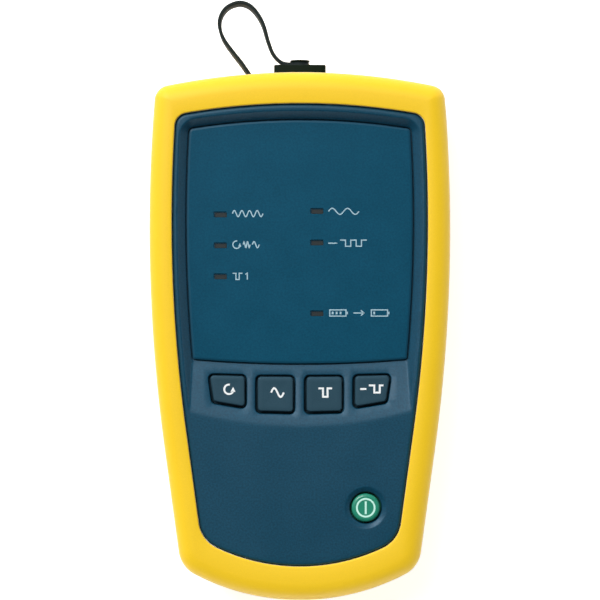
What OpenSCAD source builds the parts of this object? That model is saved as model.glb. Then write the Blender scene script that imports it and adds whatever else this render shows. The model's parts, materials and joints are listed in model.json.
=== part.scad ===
/* [Boot] */
// Half of the boot's greatest width
boot_half_w = 46.5; // [44:0.1:50]
// Middle of the body to its top end
body_top = 81.5; // [80:0.5:86]
// Middle of the body to its foot end
body_foot = 81.5; // [80:0.5:86]
// Height above the middle at which the boot is widest
boot_wide_y = 33.2; // [28:0.2:36]
// Radius of the boot's long sides seen from the front
boot_side_r = 498; // [450:1:540]
// Radius of the boot's top end
boot_top_r = 205.4; // [190:0.2:230]
// Radius of the boot's foot end
boot_foot_r = 70.4; // [66:0.2:76]
// Radius of the boot's top corners
boot_top_corner_r = 4.9; // [4.9:0.1:7]
// Radius of the boot's foot corners
boot_foot_corner_r = 9.3; // [7:0.1:12]
// Angle at which the sides run straight towards the foot
taper = 7.8; // [7:0.05:9]
// Rubber wall of the boot
boot_wall = 2.8; // [2.4:0.1:3.2]
// Thickness of the boot's front and back lips
lip_t = 2.2; // [1.8:0.1:2.6]
// Rounding of the boot's outer edges
boot_round = 4.4; // [3.5:0.1:4.4]
// How far the boot's sides swell between its lips
boot_crown = 0.1; // [0:0.05:0.1]

/* [Front window of the boot] */
// Width of the boot's lip beside the window, at the widest place
lip_side = 7.1; // [6.6:0.1:8.6]
// Width of the lip above the window
lip_top = 9.9; // [9.1:0.1:11.5]
// Width of the lip below the window
lip_foot = 10.7; // [9.5:0.1:11.5]
// Height above the middle at which the window is widest
win_wide_y = 35.6; // [34:0.2:40]
// Radius of the window's long sides
win_side_r = 474; // [430:1:510]
// Radius of the window's top edge
win_top_r = 207.5; // [190:0.5:230]
// Radius of the window's foot edge
win_foot_r = 59.6; // [57:0.2:64]
// Radius of the window's top corners
win_top_corner_r = 4.2; // [3.8:0.1:6]
// Radius of the window's foot corners
win_foot_corner_r = 9.9; // [8:0.1:12]

/* [Case] */
// Wall of the two case halves
case_wall = 2.2; // [1.9:0.1:2.4]
// Gap between boot and case
boot_gap = 0.2; // [0.15:0.05:0.3]
// Gap between the window's edge and the raised face in it
face_gap = 0.5; // [0.4:0.05:0.6]
// How deep the palm face lies below the boot's front lip
face_in = 0.8; // [0.5:0.1:1.1]
// Height of the back face that shows through the boot
back_z = 0.8; // [0.6:0.1:1]
// Height of the seam between the case halves above the port's axis
seam_up = 3.5; // [3:0.25:4]
// Rounding of the raised face's rim
rim_round = 0.9; // [0.6:0.1:1.1]
// Radius of the case screw bosses
boss_r = 3.6; // [3.4:0.1:3.8]
// Radius of the case screws' threads
case_screw_r = 1.2; // [1:0.05:1.3]
// Width and depth of the sealing cord in the seam
seal_w = 1; // [0.8:0.1:1]

/* [Label well and key ramp] */
// Depth of the label's well below the palm face
well_t = 2.8; // [2.6:0.1:3]
// Thickness of the label
label_t = 0.5; // [0.4:0.05:0.6]
// Window's side to the label's side
label_side = 4.6; // [4.4:0.1:5.4]
// Window's top edge to the label's top edge
label_head = 5.1; // [4.8:0.1:6]
// Middle of the body down to the label's foot edge
label_foot = 8.4; // [8.2:0.1:8.8]
// Radius of the label's top edge
label_top_r = 214; // [195:1:230]
// Radius of the label's foot edge
label_foot_r = 384; // [340:1:420]
// Radius of the label's corners
label_corner_r = 1.2; // [1:0.1:2]
// Gap round the label
label_gap = 0.3; // [0.2:0.05:0.4]
// Width of the well's sloping wall
well_slope_w = 2.6; // [2:0.1:2.8]
// Keys' lower edge to the crease above the palm face
crease_drop = 4.2; // [3.6:0.1:5.6]
// Radius of that crease
crease_r = 127; // [110:1:150]
// Length of an indicator window
led_w = 3.7; // [3.2:0.1:4.2]
// Height of an indicator window
led_h = 1.4; // [1.2:0.1:1.6]

/* [Keys and button] */
// Size of one key, foot to top, on the inner pair
key_h = 10.9; // [10.5:0.1:11.2]
// Window's side to the outer side of the outer keys
key_side = 11.7; // [11:0.1:12.6]
// Label's foot edge to the upper edge of the keys
key_drop = 4.1; // [3.7:0.1:4.5]
// Gap round a key
key_gap = 0.55; // [0.45:0.05:0.6]
// Corner radius of a key
key_corner_r = 1.1; // [1:0.05:1.3]
// How deep the flat key tops lie below the palm face
key_in = 0.3; // [0:0.05:0.6]
// Travel of a key
key_travel = 0.8; // [0.6:0.05:1]
// Radius of the power button
power_r = 4.35; // [4.2:0.05:4.6]
// Window's side to the middle of the power button
power_side = 11.5; // [11:0.1:12]
// Foot end of the boot to the middle of the power button
power_up = 28.8; // [28.4:0.1:30.5]
// Radius of the dish round the power button
dish_r = 6.3; // [6:0.1:6.8]
// Depth of that dish
dish_t = 0.7; // [0.4:0.1:1]

/* [Fibre port] */
// Width of the port's body
port_w = 13; // [12.6:0.1:13.4]
// Height of the port's body
port_h = 9.6; // [9.4:0.1:9.9]
// How far the port's mouth stands out of the boot's top end
port_out = 1.3; // [1.1:0.1:2.1]
// Radius of the plug ferrule's bore
ferrule_r = 1.25; // [1.2:0.01:1.3]
// Radius of the light's path behind the ferrule
beam_r = 0.8; // [0.5:0.05:1]
// Length of the alignment sleeve
sleeve_l = 9.5; // [9:0.1:9.6]
// Outer radius of the alignment sleeve
sleeve_r = 1.6; // [1.55:0.01:1.65]
// Wall of the dust cap
cap_wall = 1.5; // [1.3:0.1:1.6]
// Thickness of the dust cap's end
cap_end_t = 1.6; // [1.4:0.1:1.9]
// Radius of the dust cap's knob
knob_r = 3.05; // [2.9:0.05:3.2]

/* [Dust cap strap] */
// Width of the strap
strap_w = 4.2; // [3.6:0.1:4.6]
// Thickness of the strap
strap_t = 1.05; // [0.9:0.05:1.15]
// Reach of the strap's loop to the side
loop_w = 25.2; // [24:0.2:27]
// Reach of the strap's loop beyond the cap
loop_h = 19; // [17:0.2:21]
// Room between the dust cap and the strap's other eyelet
strap_side = 0.6; // [0.5:0.1:1]
// Greatest tilt of the strap, at the top of its loop
strap_tilt = 11; // [0:1:25]

/* [Board and keypad] */
// Thickness of the circuit board
board_t = 1.6; // [1.2:0.1:1.7]
// Gap between the board's edge and the window's outline
board_in = 4.5; // [4.2:0.1:5]
// Room between the board and the case's roof
board_over = 5.2; // [5:0.1:5.6]
// Room between the battery bay and the board
board_under = 5.3; // [5:0.1:6]
// Thickness of the keypad mat
mat_t = 0.8; // [0.6:0.05:0.9]
// Radius of the board screws' threads
board_screw_r = 0.9; // [0.8:0.05:1]

/* [Battery bay] */
// Radius of a cell
cell_r = 7.25; // [7:0.05:7.3]
// Length of a cell with its nub
cell_l = 50.5; // [50:0.1:50.5]
// Room beside a cell
bay_play = 0.3; // [0.2:0.05:0.4]
// Foot end of the boot to the inside of the battery bay
bay_up = 16; // [15:0.1:17]
// Length of the bay beyond a cell's, for its contacts
contact_room = 7.5; // [7.1:0.1:8.5]
// Wall of the battery bay
bay_wall = 1.6; // [1.4:0.1:1.8]
// Thickness of the battery door
door_t = 2; // [1.9:0.1:2.1]
// Radius of the door's hinge pins
hinge_r = 0.7; // [0.6:0.02:0.72]

/* [Hidden] */

// Colours of the pieces
yellow = "#fdd32a";
navy = "#234c63";
slate = "#2f5a72";
black = "#1d2224";
green = "#2c9a7c";
steel = "#b9bcc0";
gold = "#c9a65a";

// Finish of the round pieces, and the overrun that carries every cut past its face
round_fn = 48;
small_fn = 24;
over = 1;
// Clearance of a piece that slides or turns, of a piece laid against another, and of a screw
slide_gap = 0.08;
seat_gap = 0.05;
screw_gap = 0.3;

// Ears of the port and the block behind them
ear_screw_r = 0.8;
screw_head_t = 1;
ear_t = 2;
ear_reach = 4.5;
ear_w = port_w + 2 * ear_reach;
ear_h = port_h + 3 * ear_screw_r;
block_h = ear_h + 2 * screw_gap;

// Heights from the back up: door, cells, bay, board, keypad, roof, well, face and lip
cell_z = back_z + door_t + 2 * bay_play + cell_r;
bay_roof_z = cell_z + cell_r + 2 * bay_play;
board_z = bay_roof_z + bay_wall + board_under + board_t;
roof_z = board_z + board_over;
well_z = roof_z + case_wall;
palm_z = well_z + well_t;
key_z = palm_z - key_in;
boot_h = palm_z + face_in;
port_z = board_z - board_t - block_h / 2 - 2 * screw_gap;
parting_z = port_z + seam_up;

// Places seen from the front, measured from the boot's ends and from the window
win_half_w = boot_half_w - lip_side;
win_top = body_top - lip_top;
win_foot = body_foot - lip_foot;
label_half_w = win_half_w - label_side;
label_top = win_top - label_head;
key_top = label_foot + key_drop;
crease_y = key_top + key_h + crease_drop;
power_y = body_foot - power_up;
port_y = body_top + port_out;
bay_half_w = 2 * cell_r + 3 * bay_play;
bay_l = cell_l + contact_room;
bay_top = body_foot - bay_up - bay_l;

// An outline is [half width, top, foot, side radius, top radius, foot radius,
// top corner, foot corner, height where it is widest, taper angle or 0 for none]
boot_o = [boot_half_w, body_top, body_foot, boot_side_r, boot_top_r, boot_foot_r,
    boot_top_corner_r, boot_foot_corner_r, boot_wide_y, taper];
win_o = [win_half_w, win_top, win_foot, win_side_r, win_top_r, win_foot_r,
    win_top_corner_r, win_foot_corner_r, win_wide_y, taper];
label_o = [label_half_w, label_top, label_foot, win_side_r - win_half_w + label_half_w,
    label_top_r, label_foot_r, label_corner_r, label_corner_r, win_wide_y, 0];

// Counts of short edges in the foot arc, foot corner, side, top corner and top arc
arc_steps = [6, 6, 8, 5, 7];

function side_centre(o) = [o[0] - o[3], o[8]];
function top_centre(o) = [0, o[1] - o[4]];
function foot_centre(o) = [0, o[5] - o[2]];
function bearing(a, b) = atan2(b.y - a.y, b.x - a.x);
function on_circle(c, r, a) = c + r * [cos(a), sin(a)];

// The right-hand point where two circles meet
function meet(a, ra, b, rb) =
    let (
        gap = norm(b - a), u = (b - a) / gap,
        along = (gap * gap + ra * ra - rb * rb) / (2 * gap),
        up = sqrt(ra * ra - along * along) * [-u.y, u.x],
        mid = a + u * along
    )
    (mid + up).x > (mid - up).x ? mid + up : mid - up;

// Centre of a foot corner: on the straight side, or on the side's arc if there is no taper
function foot_corner(o) =
    o[9] == 0
    ? meet(side_centre(o), o[3] - o[7], foot_centre(o), o[5] - o[7])
    : let (
        start = on_circle(side_centre(o), o[3] - o[7], -o[9]),
        down = [-sin(o[9]), -cos(o[9])],
        w = start - foot_centre(o),
        half_b = w * down,
        c = w * w - pow(o[5] - o[7], 2)
    )
    start + down * (sqrt(half_b * half_b - c) - half_b);

function top_corner(o) = meet(side_centre(o), o[3] - o[6], top_centre(o), o[4] - o[6]);

// The arcs of the right half from foot to top, each [centre, radius, from, to, steps, first]
function half_arcs(o) =
    let (
        fc = foot_corner(o), tc = top_corner(o),
        turn = o[9] == 0 ? bearing(side_centre(o), fc) : -o[9]
    )
    [
        [foot_centre(o), o[5], -90, bearing(foot_centre(o), fc), arc_steps[0], 0],
        [fc, o[7], bearing(foot_centre(o), fc), turn, arc_steps[1], 1],
        [side_centre(o), o[3], turn, bearing(side_centre(o), tc), arc_steps[2], o[9] == 0 ? 1 : 0],
        [tc, o[6], bearing(side_centre(o), tc), bearing(top_centre(o), tc), arc_steps[3], 1],
        [top_centre(o), o[4], bearing(top_centre(o), tc), 90, arc_steps[4], 1],
    ];

// An outline drawn in by inset all round, whose corners never get sharper than least_corner
least_corner = 0.4;
function drawn_in(o, inset) = concat([for (i = [0 : 5]) o[i] - inset],
    [for (i = [6, 7]) max(o[i] - inset, least_corner)], [o[8], o[9]]);

// All the points of an outline drawn in by inset
function outline(o, inset) =
    let (
        right = [for (arc = half_arcs(drawn_in(o, inset))) for (i = [arc[5] : arc[4]])
            on_circle(arc[0], arc[1], arc[2] + (arc[3] - arc[2]) * i / arc[4])]
    )
    concat(right, [for (i = [len(right) - 2 : -1 : 1]) [-right[i].x, right[i].y]]);

// Where the long side of an outline stands at a height y
function side_x(o, y) =
    let (c = side_centre(o), turn = on_circle(c, o[3], -o[9]))
    o[9] == 0 || y > turn.y
    ? c.x + sqrt(o[3] * o[3] - pow(y - c.y, 2))
    : turn.x - (turn.y - y) * tan(o[9]);

// Where a share of the body's length stands, towards its top end or its foot end
function lengthwise(share) = share * (share > 0 ? body_top : body_foot);

// Where the top edge of an outline stands at a place x
function top_y(o, x) = o[1] - o[4] + sqrt(o[4] * o[4] - x * x);

// Corner arcs of a convex polygon, each [centre, angle from, angle to]
function corners(p, r) = [for (i = [0 : len(p) - 1])
    let (
        here = p[i], before = p[(i + len(p) - 1) % len(p)], after = p[(i + 1) % len(p)],
        u = (before - here) / norm(before - here), v = (after - here) / norm(after - here),
        mid = (u + v) / norm(u + v), half = acos(u * v) / 2,
        centre = here + mid * r / sin(half),
        open = atan2(-mid.y, -mid.x)
    )
    [centre, open - (90 - half), open + (90 - half)]];

corner_steps = 4;
function rounded(p, r, inset) = [for (c = corners(p, r)) for (i = [0 : corner_steps])
    on_circle(c[0], r - inset, c[1] + (c[2] - c[1]) * i / corner_steps)];

function rectangle(w, h) = [[w, h] / 2, [-w, h] / 2, [-w, -h] / 2, [w, -h] / 2];

module prism(points, z0, z1) {
    translate([0, 0, z0])
        linear_extrude(z1 - z0)
            polygon(points);
}

module rod(r, z0, z1, fn = round_fn) {
    translate([0, 0, z0])
        cylinder(h = z1 - z0, r = r, $fn = fn);
}

module box(x0, x1, y0, y1, z0, z1) {
    translate([x0, y0, z0])
        cube([x1 - x0, y1 - y0, z1 - z0]);
}

// A solid through rings of equal count, each [points, height]
module loft(rings) {
    n = len(rings[0][0]);
    last = len(rings) - 1;
    polyhedron(
        points = [for (ring = rings) for (p = ring[0]) [p.x, p.y, ring[1]]],
        faces = concat(
            [[for (j = [0 : n - 1]) j]],
            [for (i = [0 : last - 1]) for (j = [0 : n - 1])
                [i * n + j, (i + 1) * n + j, (i + 1) * n + (j + 1) % n, i * n + (j + 1) % n]],
            [[for (j = [n - 1 : -1 : 0]) last * n + j]]
        )
    );
}

// A quarter round seen as [inset, height], climbing inwards to the height z
round_steps = 5;
function round_over(r, z) = [for (i = [0 : round_steps])
    let (a = 90 * i / round_steps) [r * (1 - cos(a)), z - r * (1 - sin(a))]];
function round_under(r, z) = [for (i = [0 : round_steps])
    let (a = 90 * i / round_steps) [r * (1 - sin(a)), z + r * (1 - cos(a))]];

// Boot

eye_r = 2.9;
slot_gap = 1.1;
cap_w = port_w + 2 * slide_gap + 2 * cap_wall;
cap_h = port_h + 2 * slide_gap + 2 * cap_wall;
strap_screw_x = cap_w / 2 + eye_r + strap_side;
// Boot slot: room round the cap, and on the strap's side round its eyelet and band
slot_right = cap_w / 2 + slot_gap;
slot_left = strap_screw_x + eye_r + 3 * slot_gap;
slot_half_h = cap_h / 2 + slot_gap / 2;
slot_corner_r = 2 * slot_gap;

function crown(z) = boot_crown * pow(2 * z / boot_h - 1, 2);

module boot() {
    profile = concat(round_under(boot_round, 0), round_over(boot_round, boot_h));
    color(yellow)
    difference() {
        loft([for (s = profile) [outline(boot_o, s[0] + crown(s[1])), s[1]]]);
        prism(outline(boot_o, boot_wall), lip_t, boot_h - lip_t);
        prism(outline(win_o, 0), boot_h - lip_t - over, boot_h + over);
        prism(outline(win_o, 0), -over, lip_t + over);
        translate([0, body_top + over, port_z])
            rotate([90, 0, 0])
                prism(rounded([[slot_right, slot_half_h], [-slot_left, slot_half_h],
                    [-slot_left, -slot_half_h], [slot_right, -slot_half_h]],
                    slot_corner_r, 0), 0, 3 * boot_wall);
    }
}

// Case

case_in = boot_wall + boot_gap;
hollow_in = case_in + case_wall;
shoulder_z = boot_h - lip_t - boot_gap;
under_z = lip_t + boot_gap;
floor_z = under_z + case_wall;
rib_t = case_wall / 2;

// Screw bosses: shares of the body's length to either end, on both sides
boss_shares = [0.69, -0.44];
boss_in = boss_r + 1.5 * rim_round;
function boss_places() = [for (s = boss_shares) for (side = [1, -1])
    [side * (side_x(win_o, lengthwise(s)) - boss_in), lengthwise(s)]];
head_r = 2 * case_screw_r;
head_z = floor_z + 2 * case_wall;
head_t = case_screw_r * 1.6;

// Board screws: shares of the window's half width and of the body's length to either end
board_screw_shares = [[0.46, 0.69], [0.3, -0.74]];
function board_screw_places() = [for (s = board_screw_shares) for (side = [1, -1])
    [side * s[0] * win_half_w, lengthwise(s[1])]];
board_boss_r = 2.6 * board_screw_r;

// Boss columns between two heights, each with a rib out to the wall
module bosses(z0, z1) {
    for (p = boss_places()) {
        translate([p.x, p.y, 0])
            rod(boss_r, z0, z1);
        reach = side_x(boot_o, p.y) - hollow_in + over / 2;
        box(min(p.x, sign(p.x) * reach), max(p.x, sign(p.x) * reach),
            p.y - rib_t / 2, p.y + rib_t / 2, z0, z1);
    }
}

module boss_holes(r, z0, z1) {
    for (p = boss_places())
        translate([p.x, p.y, 0])
            rod(r, z0, z1, small_fn);
}

// The port's way through the top wall, shared by both case halves and the seal
module port_cut() {
    box(-port_w / 2 - slide_gap, port_w / 2 + slide_gap, body_top - hollow_in - over,
        body_top, port_z - port_h / 2 - slide_gap, port_z + port_h / 2 + slide_gap);
}

strap_boss_r = 1.7;
strap_boss_l = case_wall + screw_head_t;
strap_thread_r = 0.9;

// Column along Y for the strap's screw, between two depths behind the top wall's face
module strap_boss(r, y0, y1) {
    translate([-strap_screw_x, top_y(boot_o, strap_screw_x) - case_in, port_z])
        rotate([90, 0, 0])
            rod(r, y0, y1, small_fn);
}

// Ramp: [height of the well, height of the palm face] along two smiling curves
function smile_y(y, r, x) = r - y - sqrt(r * r - x * x);
ramp_stations = 16;
function ramp_x(i) = win_half_w * (2 * i / ramp_stations - 1);

// All that lies above the well's floor, the ramp and nothing else
module above_ramp() {
    rise = palm_z - well_z;
    section = [for (i = [0 : ramp_stations])
        let (
            x = ramp_x(i),
            y1 = smile_y(label_foot + label_gap, label_foot_r, x),
            y2 = smile_y(crease_y, crease_r, x),
            past = rise / (y1 - y2)
        )
        [[x, body_top, well_z], [x, y1, well_z], [x, y2 - over, palm_z + over * past],
            [x, y2 - over, palm_z + 2 * over], [x, body_top, palm_z + 2 * over]]];
    n = len(section[0]);
    last = ramp_stations;
    polyhedron(
        points = [for (s = section) for (p = s) p],
        faces = concat(
            [[for (j = [n - 1 : -1 : 0]) j]],
            [for (i = [0 : last - 1]) for (j = [0 : n - 1])
                [i * n + j, i * n + (j + 1) % n, (i + 1) * n + (j + 1) % n, (i + 1) * n + j]],
            [[for (j = [0 : n - 1]) last * n + j]]
        )
    );
}

// The well's sloping walls, carried down past the crease
module well_sides() {
    open_o = [label_half_w, label_top, win_foot, label_o[3], label_top_r,
        win_foot_r, label_corner_r, win_foot_corner_r, win_wide_y, taper];
    rise = palm_z - well_z;
    slope = well_slope_w / rise;
    loft([
        [outline(open_o, slope * over - label_gap), well_z - over],
        [outline(open_o, -label_gap - slope * (rise + over)), palm_z + over],
    ]);
}

module front_case() {
    island = concat([[face_gap, shoulder_z - over]],
        [for (s = round_over(rim_round, palm_z)) [face_gap + s[0], s[1]]]);
    color(navy)
    difference() {
        union() {
            difference() {
                union() {
                    prism(outline(boot_o, case_in), parting_z, shoulder_z);
                    loft([for (s = island) [outline(win_o, s[0]), s[1]]]);
                }
                prism(outline(boot_o, hollow_in), parting_z - over, roof_z);
            }
            bosses(parting_z, roof_z + over / 2);
            for (p = board_screw_places())
                translate([p.x, p.y, 0])
                    rod(board_boss_r, board_z, roof_z + over / 2);
        }
        intersection() {
            above_ramp();
            well_sides();
        }
        for (k = [0 : 3])
            prism(rounded(key_shape(k), key_corner_r, -key_gap), roof_z - over, palm_z + over);
        translate([power_x, -power_y, 0]) {
            rod(power_r + key_gap, roof_z - over, palm_z + over);
            translate([0, 0, palm_z - dish_t])
                cylinder(h = dish_t + over, r1 = power_r + key_gap,
                    r2 = dish_r + (dish_r - power_r - key_gap) * over / dish_t, $fn = round_fn);
        }
        for (p = led_places())
            translate([p.x, p.y, 0])
                prism(rectangle(led_w, led_h), roof_z - over, palm_z);
        boss_holes(case_screw_r * 0.9, parting_z - over, roof_z);
        for (p = board_screw_places())
            translate([p.x, p.y, 0])
                rod(board_screw_r * 0.9, board_z - over, roof_z, small_fn);
        seal_ring(seat_gap);
        port_cut();
    }
}

module rear_case() {
    bay_w = bay_half_w + bay_wall;
    color(navy)
    difference() {
        union() {
            difference() {
                union() {
                    prism(outline(boot_o, case_in), under_z, parting_z);
                    prism(outline(win_o, face_gap), back_z, under_z + over);
                }
                prism(outline(boot_o, hollow_in), floor_z, parting_z + over);
            }
            bosses(floor_z - over / 2, parting_z);
            box(-bay_w, bay_w, -bay_top - bay_l - bay_wall, -bay_top + bay_wall,
                floor_z - over / 2, bay_roof_z + bay_wall);
            strap_boss(strap_boss_r, case_wall / 2, strap_boss_l);
        }
        box(-bay_half_w, bay_half_w, -bay_top - bay_l, -bay_top, back_z - over, bay_roof_z);
        box(-door_half_w - door_gap, door_half_w + door_gap, -door_foot - door_gap,
            -door_top, back_z - over, back_z + door_t + seat_gap);
        door_axis()
            rod(hinge_r + slide_gap, -door_half_w - pin_l - door_gap,
                door_half_w + pin_l + door_gap, small_fn);
        thumb_notch();
        boss_holes(case_screw_r + screw_gap / 2, back_z - over, parting_z + over);
        boss_holes(head_r + screw_gap, back_z - over, head_z);
        for (side = [1, -1])
            translate([side * cell_x, 0, 0])
                box(-tab_w / 2 - seat_gap, tab_w / 2 + seat_gap, -bay_top - plate_t - seat_gap,
                    -bay_top + seat_gap, cell_z, bay_roof_z + bay_wall + over);
        port_cut();
        strap_boss(strap_thread_r, -over, strap_boss_l + over);
    }
}

// A cord of square section lying in a groove of the front half
module seal_ring(extra) {
    mid = case_in + case_wall / 2;
    difference() {
        prism(outline(boot_o, mid - seal_w / 2 - extra), parting_z, parting_z + seal_w * 0.7 + extra);
        prism(outline(boot_o, mid + seal_w / 2 + extra), parting_z - over, parting_z + seal_w + over);
    }
}

module case_seal() {
    color(black)
    difference() {
        seal_ring(0);
        port_cut();
    }
}

module case_screws() {
    color(steel)
    for (p = boss_places())
        translate([p.x, p.y, 0]) {
            rod(head_r, head_z - head_t, head_z - seat_gap, small_fn);
            rod(case_screw_r * 0.85, head_z - 2 * seat_gap, parting_z + 4 * case_screw_r, small_fn);
        }
}

// Label and keys

// Indicator windows: shares of the label's half width and of its height above the middle
led_shares = [[-0.7, 0.561], [-0.7, 0.418], [-0.7, 0.274], [0.155, 0.577], [0.155, 0.431],
    [0.155, 0.103]];
function led_places() = [for (s = led_shares) [s[0] * label_half_w, s[1] * label_top]];

module label_panel() {
    color(slate)
    difference() {
        prism(outline(label_o, 0), well_z, well_z + label_t);
        for (p = led_places())
            translate([p.x, p.y, 0])
                prism(rectangle(led_w, led_h), well_z - over, well_z + label_t + over);
    }
}

// Corners of the keys as shares of an inner key's width and height, from the middle line
// and from the keys' upper edge; the outer keys narrow and rise towards the case's side
inner_key_shares = [[1.21, 0.005], [0.19, 0], [0.19, -0.99], [1.21, -0.965]];
outer_key_shares = [[2.585, 0.046], [1.585, 0.02], [1.575, -0.845], [2.475, -0.69]];
key_w = (win_half_w - key_side) / outer_key_shares[0][0];
function key_shape(k) =
    let (
        side = k < 2 ? -1 : 1,
        shares = k == 0 || k == 3 ? outer_key_shares : inner_key_shares,
        place = [for (s = shares) [side * s[0] * key_w, s[1] * key_h - key_top]]
    )
    side > 0 ? place : [for (i = [len(place) - 1 : -1 : 0]) place[i]];
function middle(p) = [for (a = [0, 1]) (p[0][a] + p[1][a] + p[2][a] + p[3][a]) / 4];

flange_t = 0.9;
flange_w = 0.8;
flange_z = roof_z - 3 * seat_gap;
post_r = 1.5;
power_x = side_x(win_o, -power_y) - power_side;
// A dome of the mat stands twice the key's travel above the mat
dome_h = mat_t + 2 * key_travel;
post_z = board_z + dome_h + 2 * seat_gap;
key_round = 0.5;
function key_middles() = concat([for (k = [0 : 3]) middle(key_shape(k))], [[power_x, -power_y]]);

module post(k) {
    translate([key_middles()[k].x, key_middles()[k].y, 0])
        rod(post_r, post_z, flange_z - flange_t / 2, small_fn);
}

module key(k) {
    color(slate) {
        prism(rounded(key_shape(k), key_corner_r, -flange_w), flange_z - flange_t, flange_z);
        loft(concat([[rounded(key_shape(k), key_corner_r, 0), flange_z - seat_gap]],
            [for (s = round_over(key_round, key_z))
                [rounded(key_shape(k), key_corner_r, s[0]), s[1]]]));
        post(k);
    }
}

module key_1() { key(0); }
module key_2() { key(1); }
module key_3() { key(2); }
module key_4() { key(3); }

module power_button() {
    button_z = palm_z - dish_t / 3;
    edge = key_round / 2;
    color(green)
    translate([power_x, -power_y, 0])
        rotate_extrude($fn = round_fn)
            polygon([[0, post_z], [post_r, post_z], [post_r, flange_z - flange_t],
                [power_r + flange_w, flange_z - flange_t], [power_r + flange_w, flange_z],
                [power_r, flange_z], [power_r, button_z - edge], [power_r - edge, button_z],
                [0, button_z]]);
}

// Domed silicone mat on the board, under the keys and the button
dome_r = 3.2;
dome_hollow_r = 2.6;
mat_margin = 2;
module keypad_mat() {
    top = -middle(key_shape(0)).y;
    color("#9fb4bd")
    difference() {
        union() {
            box(-2.6 * key_w, 2.6 * key_w, -top - key_h / 2, -top + key_h / 2, board_z,
                board_z + mat_t);
            box(power_x - dome_r - mat_margin, power_x + mat_margin, -power_y, -top, board_z,
                board_z + mat_t);
            translate([power_x, -power_y, 0])
                rod(dome_r + mat_margin, board_z, board_z + mat_t);
            for (p = key_middles())
                translate([p.x, p.y, board_z])
                    cylinder(h = dome_h, r1 = dome_r, r2 = post_r * 1.2, $fn = small_fn);
        }
        for (p = key_middles())
            translate([p.x, p.y, 0]) {
                rod(dome_hollow_r, board_z - over, board_z + mat_t / 2, small_fn);
                translate([0, 0, board_z])
                    cylinder(h = dome_h - mat_t, r1 = dome_hollow_r, r2 = post_r, $fn = small_fn);
            }
        for (p = board_screw_places())
            translate([p.x, p.y, 0])
                rod(board_boss_r + slide_gap, board_z - over, board_z + dome_h);
    }
}

module switch_domes() {
    color(steel)
    for (p = key_middles())
        translate([p.x, p.y, 0])
            rod(dome_hollow_r - 2 * slide_gap, board_z, board_z + mat_t / 3, small_fn);
}

// Board

module main_board() {
    color("#2e6b3f")
    difference() {
        prism(outline(win_o, board_in), board_z - board_t, board_z);
        for (p = boss_places())
            translate([p.x, p.y, 0])
                rod(boss_r + screw_gap, board_z - board_t - over, board_z + over);
        for (p = board_screw_places())
            translate([p.x, p.y, 0])
                rod(board_screw_r + screw_gap / 2, board_z - board_t - over, board_z + over,
                    small_fn);
    }
}

module board_screws() {
    color(steel)
    for (p = board_screw_places())
        translate([p.x, p.y, 0]) {
            rod(2 * board_screw_r, board_z - board_t - board_screw_r, board_z - board_t, small_fn);
            rod(board_screw_r * 0.85, board_z - board_t - seat_gap,
                board_z + 4 * board_screw_r, small_fn);
        }
}

chip_w = 10;
chip_t = 1.4;
module controller_chip() {
    color(black)
    translate([-chip_w, chip_w / 2, 0])
        prism(rectangle(chip_w, chip_w), board_z, board_z + chip_t);
}

// Driver chips: shares of the board's half width and of the body's length
driver_shares = [[0.45, 0.3], [-0.1, 0.55], [0.5, 0.05]];
module driver_chips() {
    color(black)
    for (s = driver_shares)
        translate([s[0] * win_half_w, lengthwise(s[1]), 0])
            prism(rectangle(chip_w * 0.6, chip_w / 2), board_z, board_z + chip_t * 0.9);
}

die_t = 1.1;
module indicator_leds() {
    color("#d8c9a0")
    for (p = led_places())
        translate([p.x, p.y, 0])
            prism(rectangle(led_w * 0.85, led_h * 1.1), board_z, board_z + die_t);
}

// Clear bars that carry the light up to the label, hung by a collar under the case's roof
module light_pipes() {
    recess = label_t * 0.6;
    color("#8a6a60")
    for (p = led_places())
        translate([p.x, p.y, 0]) {
            prism(rectangle(led_w - 2 * slide_gap, led_h - 2 * slide_gap),
                board_z + die_t + 2 * seat_gap, well_z + label_t - recess);
            prism(rectangle(led_w * 1.3, led_h * 1.7), roof_z - seat_gap - led_h / 2,
                roof_z - seat_gap);
        }
}

// Fibre port

ear_y = top_y(boot_o, ear_w / 2) - hollow_in - screw_head_t - 4 * seat_gap;
port_tail = 7;
port_back = ear_y - ear_t - port_tail;
socket_side_t = 1.95;
socket_wall_t = 1.05;
socket_w = port_w - 2 * socket_side_t;
socket_h = port_h - 2 * socket_wall_t;
socket_floor = 1.6;
holder_r = 2.5;
ear_screw_x = port_w / 2 + 2.1 * ear_screw_r;

// Turns a piece drawn along Z so that it runs along Y from the port's axis
module along_port(y) {
    translate([0, y, port_z])
        rotate([-90, 0, 0])
            children();
}

module fibre_adapter() {
    color(black)
    difference() {
        union() {
            along_port(port_back)
                prism(rectangle(port_w, port_h), 0, port_y - port_back);
            along_port(ear_y - ear_t)
                prism(rectangle(ear_w, ear_h), 0, ear_t - seat_gap);
        }
        difference() {
            along_port(port_back + socket_floor)
                prism(rectangle(socket_w, socket_h), 0, port_y - port_back);
            along_port(port_back)
                rod(holder_r, 0, socket_floor + sleeve_l);
        }
        along_port(port_back + socket_floor / 2)
            rod(sleeve_r, 0, socket_floor + sleeve_l + over, small_fn);
        along_port(port_back - over)
            rod(beam_r, 0, over + socket_floor, small_fn);
        for (side = [1, -1])
            translate([side * ear_screw_x, 0, 0])
                along_port(ear_y - ear_t - over)
                    rod(ear_screw_r + screw_gap / 2, 0, ear_t + 2 * over, small_fn);
    }
}

module alignment_sleeve() {
    color("white")
    difference() {
        along_port(port_back + socket_floor / 2)
            rod(sleeve_r, 0, sleeve_l, round_fn);
        along_port(port_back + socket_floor / 2 - over)
            rod(ferrule_r, 0, sleeve_l + 2 * over, round_fn);
    }
}

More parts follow.
